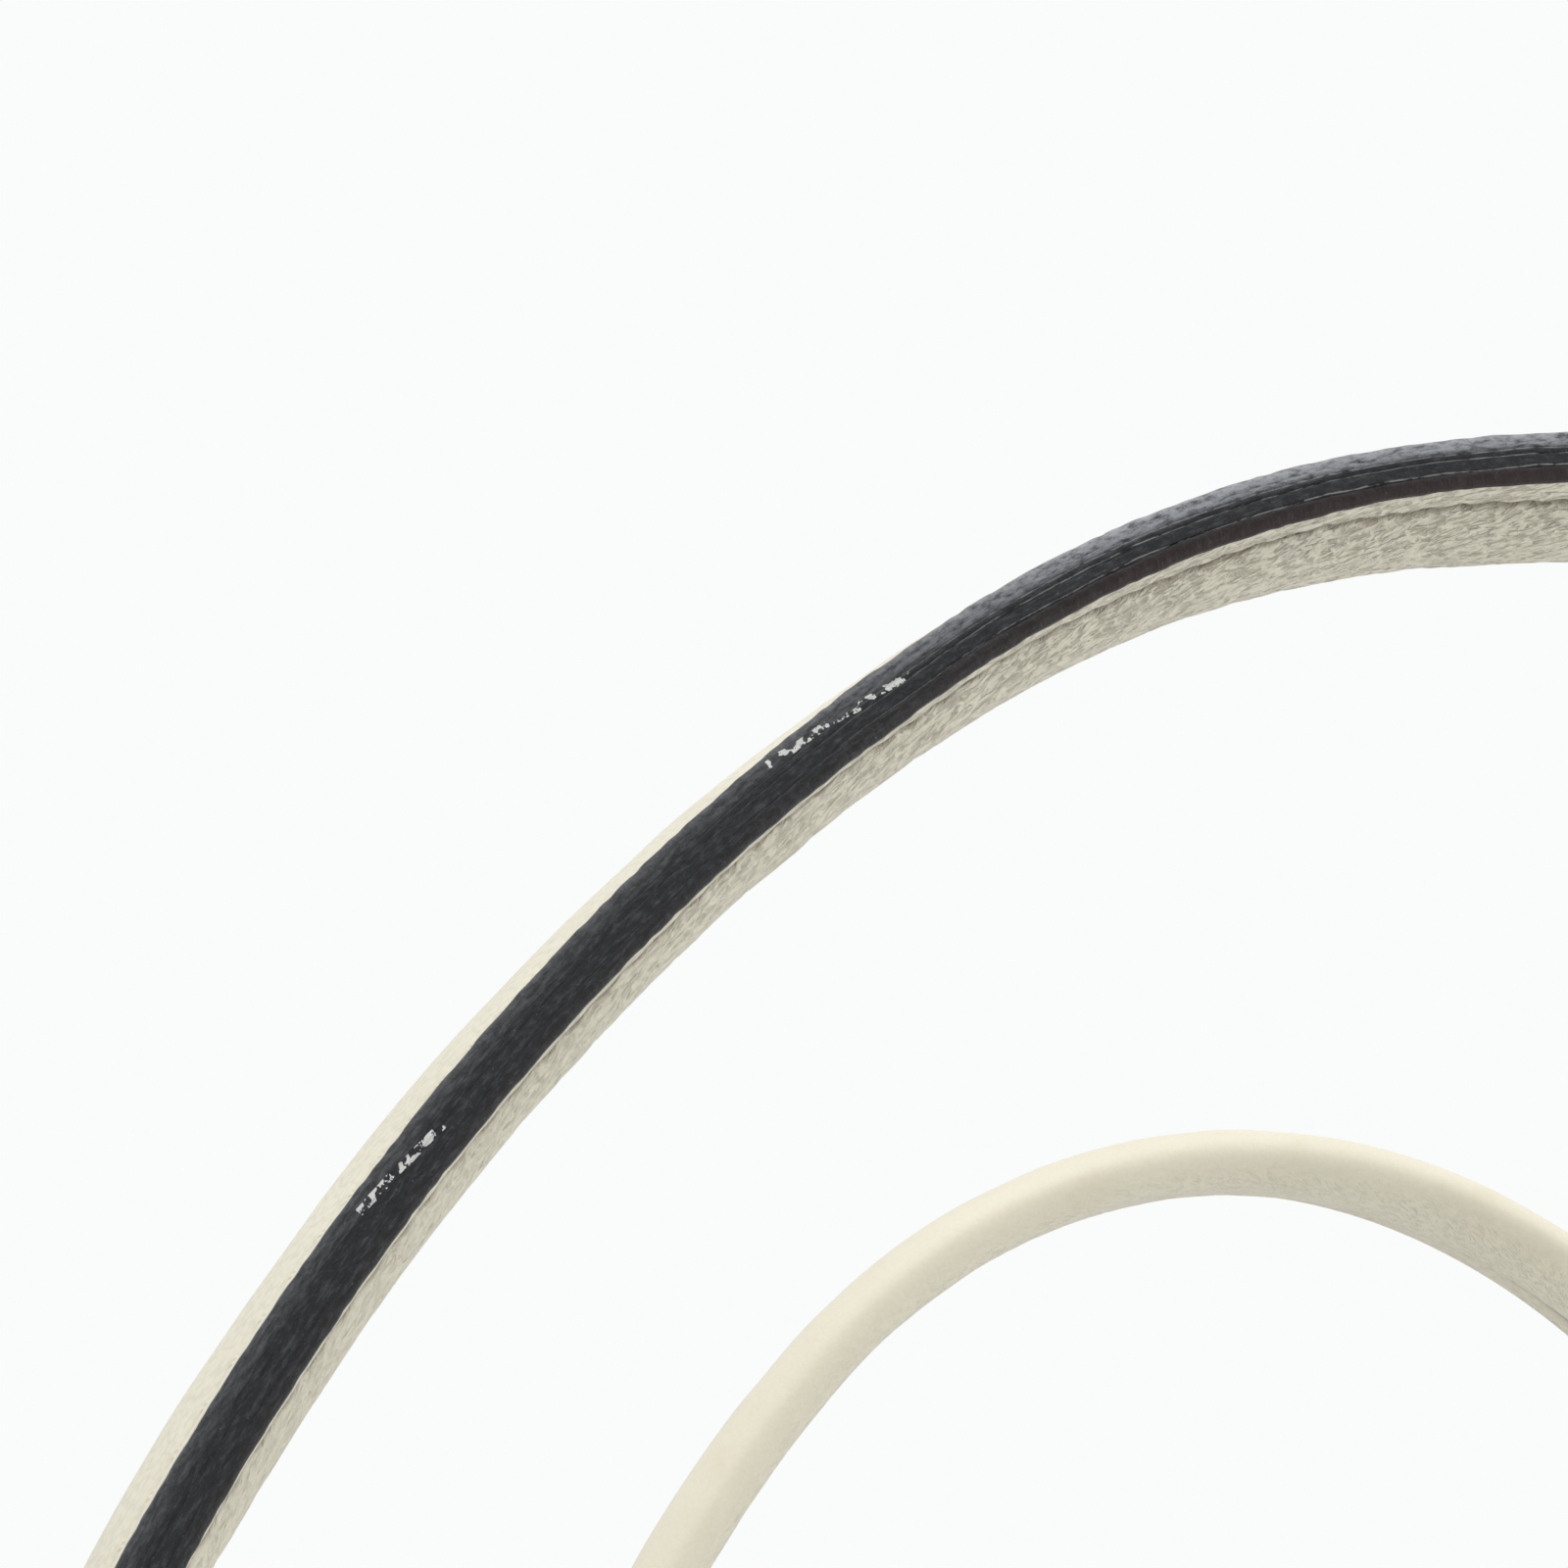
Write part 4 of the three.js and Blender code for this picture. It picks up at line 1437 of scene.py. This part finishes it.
# --------------------------------------------------------------------------- an end of a handle
@dataclass
class HandleEnd:
    """Everything that holds one end of a handle: tab, link, D-ring, anchor and their rivets."""

    handle: RolledHandle
    side: Side
    bar: float = 3.5
    link_inside: tuple[float, float] = (17.0, 19.2)
    dee_inside: tuple[float, float] = (19.0, 15.0)
    loop_bore: float = 2.35
    tab_leather: float = 1.6
    tab_width: float = 15.0
    tab_grip: float = 27.0
    tab_neck: float = 9.5
    tab_rivets: tuple[float, float] = (7.0, 19.0)
    anchor_leather: float = 2.0
    anchor_width: float = 16.0
    anchor_bar: float = 41.0
    anchor_pinch: float = 31.0
    anchor_rivets: tuple[float, float] = (8.0, 23.0)
    wall_gap: float = 5.0
    plate: float = 1.5
    clearance: float = 0.3
    tight: float = 0.15
    head_radius: float = 3.75
    head_rim: float = 0.45
    head_dome: float = 0.85
    post_radius: float = 1.4
    dee_corner: float = 2.6

    @property
    def word(self) -> str:
        """Start of the names of this end's pieces."""
        return f"{self.handle.place.word}_{self.side.word}"

    @property
    def up(self) -> Vector:
        """Direction up the handle from its cut end."""
        lean = math.radians(self.handle.arch.end_lean)
        return Vector((-self.side.sign * math.cos(lean), 0, math.sin(lean)))

    @property
    def across(self) -> Vector:
        """Direction square to the handle's faces at the cut end."""
        return self.up.cross(Vector((0, 1, 0)))

    @property
    def cut(self) -> Vector:
        """Middle of the handle's cut end."""
        x, z, _ = self.handle.arch.at(np.array([self.handle.arch.leg_length * self.side.sign]))
        return Vector((x[0], self.handle.middle, self.handle.crown + z[0]))

    @property
    def bar_middle(self) -> Vector:
        """Middle of the link's upper bar."""
        return self.cut - self.up * self.tab_neck

    def build_tab(self) -> bpy.types.Object:
        """Leather tab gripping the handle and looped round the link.

        Returns:
            The piece.
        """
        grip = self.handle.body_thickness / 2 + self.clearance + self.tab_leather / 2
        loop = self.loop_bore + self.tab_leather / 2
        low = -self.clearance - self.tab_leather / 4
        path = [(grip, self.tab_grip), (grip, self.tab_grip * 0.5), (grip, low + 1.5), (grip - 0.15, low)]
        path += arc(0, -self.tab_neck, loop, 20, -200, 22)
        path += [(-grip + 0.15, low), (-grip, low + 1.5)]
        path += [(-grip, self.tab_grip * 0.5), (-grip, self.tab_grip)]
        line = even_spacing(np.array(path), 150)
        piece = strap_mesh(
            f"{self.word}_tab", line, self.tab_leather, self.tab_width, self.across, self.up, self.cut, 5.0
        )
        Workshop.dress(piece, TAB_CREAM)
        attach(piece, self.handle.body)
        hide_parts(f"{self.word}_end_tab")
        return piece

    def rivet_profile(self, low: float, high: float) -> list[tuple[float, float]]:
        """Profile of a rivet with a domed cap on each end.

        Args:
            low: height of the face under the lower cap.
            high: height of the face under the upper cap.

        Returns:
            Radius and height from pole to pole.
        """
        turns = np.linspace(0, math.pi / 2, 9)
        head = self.head_radius
        dome = [(head * math.sin(a), self.head_rim + self.head_dome * math.cos(a)) for a in turns]
        rim = [(head, 0.22), (head - 0.15, 0.06), (head - 0.45, 0.0), (self.post_radius, 0.0)]
        lower = [(r, low - z) for r, z in dome + rim]
        upper = [(r, high + z) for r, z in reversed(dome + rim)]
        return lower + upper

    def build_rivets(self) -> list[bpy.types.Object]:
        """Rivets of the tab and of the anchor.

        Returns:
            The pieces.
        """
        out = self.handle.body_thickness / 2 + self.clearance + self.tab_leather + self.tight
        pieces = []
        for i, height in enumerate(self.tab_rivets, 1):
            profile = self.rivet_profile(-out, out)
            place = [self.cut + self.up * height]
            piece = lathe_mesh(f"{self.word}_tab_stud_{i}", profile, self.across, place)
            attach(piece, self.handle.body)
            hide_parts(f"{self.word}_tab_rivet_{i}")
            pieces.append(piece)
        inward = Vector((0, self.handle.place.facing, 0))
        front = self.loop_bore - self.clearance - self.anchor_leather - self.tight
        back = self.loop_bore + self.anchor_leather + self.wall_gap + self.plate + self.tight
        for i, height in enumerate(self.anchor_rivets, 1):
            profile = self.rivet_profile(front, back)
            place = [Vector((self.bar_middle.x, self.handle.middle, height))]
            piece = lathe_mesh(f"{self.word}_anchor_stud_{i}", profile, inward, place)
            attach(piece, "anchors")
            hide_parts(f"{self.word}_anchor_rivet_{i}")
            pieces.append(piece)
        for piece in pieces:
            Workshop.dress(piece, NICKEL)
        return pieces

    def build_link(self) -> bpy.types.Object:
        """Rounded rectangular link between tab and D-ring.

        Returns:
            The piece.
        """
        wide, tall = self.link_inside[0] + self.bar, self.link_inside[1] + self.bar
        r = self.bar
        path = []
        for sx, sy, start in ((1, 1, 0), (-1, 1, 90), (-1, -1, 180), (1, -1, 270)):
            path += arc(sx * (wide / 2 - r), sy * (tall / 2 - r), r, start, start + 90, 8)
        line = even_spacing(np.array(path + path[:1]), 121)[:-1]
        origin = self.bar_middle - Vector((0, 0, tall / 2))
        piece = wire_loop(
            f"{self.word}_wire_link", line, self.bar / 2, Vector((0, 1, 0)), Vector((0, 0, 1)), origin
        )
        Workshop.dress(piece, NICKEL)
        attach(piece, self.handle.body)
        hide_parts(f"{self.word}_link")
        return piece

    def build_dee(self) -> bpy.types.Object:
        """D-ring hanging in the anchor.

        Returns:
            The piece.
        """
        half = self.dee_inside[0] / 2 + self.bar / 2
        straight = self.dee_inside[1] - self.dee_inside[0] / 2 + self.bar / 2
        r = self.dee_corner
        path = arc(0, straight, half, 0, 180, 30)
        path += arc(-half + r, r, r, 180, 270, 7) + arc(half - r, r, r, 270, 360, 7)
        line = even_spacing(np.array(path + path[:1]), 121)[:-1]
        origin = Vector((self.bar_middle.x, self.handle.middle, self.anchor_bar))
        piece = wire_loop(
            f"{self.word}_wire_dee", line, self.bar / 2, Vector((1, 0, 0)), Vector((0, 0, 1)), origin
        )
        Workshop.dress(piece, NICKEL)
        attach(piece, f"{self.word}_dee_ring_body")
        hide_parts(f"{self.word}_dee_ring")
        return piece

    def build_anchor(self) -> bpy.types.Object:
        """Leather anchor folded over the D-ring's bar.

        Returns:
            The piece.
        """
        back = self.loop_bore + self.anchor_leather / 2
        pinch = self.loop_bore - self.clearance - self.anchor_leather / 2
        path = [(back, 0.0), (back, self.anchor_bar)]
        path += arc(0, self.anchor_bar, back, 0, 180, 24)[1:]
        path += [(-back + 0.5, self.anchor_bar - 2.5), (pinch - 0.25, self.anchor_pinch + 0.6)]
        path += [(pinch, self.anchor_pinch - 1.2), (pinch, 0.0)]
        line = even_spacing(np.array(path), 150)
        inward = Vector((0, self.handle.place.facing, 0))
        origin = Vector((self.bar_middle.x, self.handle.middle, 0))
        name, up = f"{self.word}_anchor_loop", Vector((0, 0, 1))
        piece = strap_mesh(name, line, self.anchor_leather, self.anchor_width, inward, up, origin, 5.0)
        Workshop.dress(piece, TAB_CREAM)
        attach(piece, "anchors")
        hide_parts(f"{self.word}_anchor")
        Workshop.dress(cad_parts[f"{self.word}_backing_plate"], STEEL)
        return piece

    def build(self) -> None:
        """Builds and dresses every piece of this end."""
        pieces = [self.build_tab(), self.build_link(), self.build_dee(), self.build_anchor()]
        for piece in (*pieces, *self.build_rivets()):
            log.info("%s: %d faces", piece.name, len(piece.data.polygons))


# --------------------------------------------------------------------------- studio
@dataclass(frozen=True)
class Lamp:
    """Soft panel of light."""

    name: str
    place: tuple[float, float, float]
    size: float
    power: float
    tint: Colour = (1.0, 1.0, 1.0)


@dataclass
class Studio:
    """Pale floor, soft light and the camera."""

    camera_place: tuple[float, float, float] = (-0.17132, -0.29598, 0.13151)
    camera_pitch: float = 19.82
    camera_yaw: float = 14.755
    lens: float = 63.0
    lamps: tuple[Lamp, ...] = (
        Lamp("overhead", (-0.25, -0.25, 1.4), 1.1, 9.9),
        Lamp("left_front", (-1.0, -1.0, 0.9), 0.9, 5.0),
        Lamp("right_low", (1.3, -0.3, 0.47), 0.9, 8.2),
    )
    air_above: float = 0.26
    air_level: float = 0.24
    air_behind: float = 0.42

    def build_floor(self) -> None:
        """Plain floor under the anchors."""
        bpy.ops.mesh.primitive_plane_add(size=30.0, location=(0, 0, 0))
        floor = bpy.context.object
        floor.name = "floor"
        s = Surface("pale_floor", "Object")
        s.feed("Base Color", s.mix(s.noise(3.0), (0.70, 0.705, 0.705), (0.72, 0.72, 0.72)))
        s.shader.inputs["Roughness"].default_value = 0.9
        floor.data.materials.append(s.material)

    def build_light(self) -> None:
        """Even pale surroundings and the soft panels."""
        world = bpy.data.worlds.new("pale_surroundings")
        bpy.context.scene.world = world
        world.use_nodes = True
        tree = world.node_tree
        lit = tree.nodes["Background"]
        lit.inputs["Color"].default_value = (1.0, 1.0, 1.0, 1.0)
        towards = tree.nodes.new("ShaderNodeSeparateXYZ")
        tree.links.new(tree.nodes.new("ShaderNodeTexCoord").outputs["Generated"], towards.inputs[0])
        height = Effects.span(tree, towards.outputs["Z"], 0.0, 0.9)
        behind = Effects.span(tree, towards.outputs["Y"], -0.2, 0.9)
        strength = Effects.maths(tree, "MULTIPLY_ADD", height, self.air_above, self.air_level)
        strength = Effects.maths(tree, "MULTIPLY_ADD", behind, self.air_behind, strength)
        tree.links.new(strength, lit.inputs["Strength"])
        seen = tree.nodes.new("ShaderNodeBackground")
        seen.inputs["Color"].default_value = (0.956, 0.972, 0.965, 1.0)
        path = tree.nodes.new("ShaderNodeLightPath")
        both = tree.nodes.new("ShaderNodeMixShader")
        tree.links.new(path.outputs["Is Camera Ray"], both.inputs[0])
        tree.links.new(lit.outputs[0], both.inputs[1])
        tree.links.new(seen.outputs[0], both.inputs[2])
        tree.links.new(both.outputs[0], tree.nodes["World Output"].inputs["Surface"])
        for lamp in self.lamps:
            data = bpy.data.lights.new(lamp.name, "AREA")
            data.size = lamp.size
            data.energy = lamp.power
            data.color = lamp.tint
            holder = bpy.data.objects.new(lamp.name, data)
            holder.location = lamp.place
            aim = Vector((0, 0, 0.12)) - Vector(lamp.place)
            holder.rotation_euler = aim.to_track_quat("-Z", "Y").to_euler()
            bpy.context.scene.collection.objects.link(holder)

    def build_camera(self) -> None:
        """Camera low in front of the handles, looking up and a little to the right."""
        data = bpy.data.cameras.new("camera")
        data.sensor_width = 36.0
        data.lens = self.lens
        data.clip_start = 0.01
        data.clip_end = 100.0
        camera = bpy.data.objects.new("camera", data)
        camera.location = self.camera_place
        camera.rotation_euler = Euler(
            (math.radians(90 + self.camera_pitch), 0, math.radians(-self.camera_yaw)), "XYZ"
        )
        bpy.context.scene.collection.objects.link(camera)
        bpy.context.scene.camera = camera
        bpy.context.scene.view_settings.view_transform = "Standard"

    def build(self) -> None:
        """Builds floor, light and camera."""
        self.build_floor()
        self.build_light()
        self.build_camera()


def handle_in_frame(place: Place, arcs: tuple[tuple[float, float], ...], seed: int) -> RolledHandle:
    """Handle of the size and at the place of its packed leather.

    Args:
        place: which handle.
        arcs: radius and leg angle of each arc of its legs.
        seed: number that sets its wrinkles apart.

    Returns:
        The handle, not built yet.
    """
    low, high = (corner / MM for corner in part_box(f"{place.word}_leather_wrap"))
    half = RolledHandle.body_thickness / 2
    crown = high.z - half
    rise = crown - (low.z + half * math.cos(math.radians(Arch.end_lean)))
    worn = place is Place.FRONT
    return RolledHandle(
        place,
        Arch(arcs, rise),
        crown,
        (low.y + high.y) / 2,
        seed=seed,
        bead_rounding=0.6 if worn else 1.0,
        bead_spread=0.14 if worn else 0.0,
        bead_shy=0.0 if worn else 0.3,
        wrinkling=1.0 if worn else 0.35,
        plumpness=0.25 if worn else 1.0,
        finish=CREAM if worn else CALM_CREAM,
    )


def main() -> None:
    """Builds the part and its studio."""
    logging.basicConfig(level=logging.INFO, format="%(message)s")
    handles = (
        handle_in_frame(Place.FRONT, ((242.0, 11.0), (128.0, 38.0), (219.0, 64.0)), 3),
        handle_in_frame(Place.REAR, ((87.0, 20.0), (98.0, 48.0), (170.0, 61.0)), 11),
    )
    for handle in handles:
        handle.build()
        for side in Side:
            HandleEnd(handle, side).build()
    Studio().build()


if __name__ == "__main__":
    main()
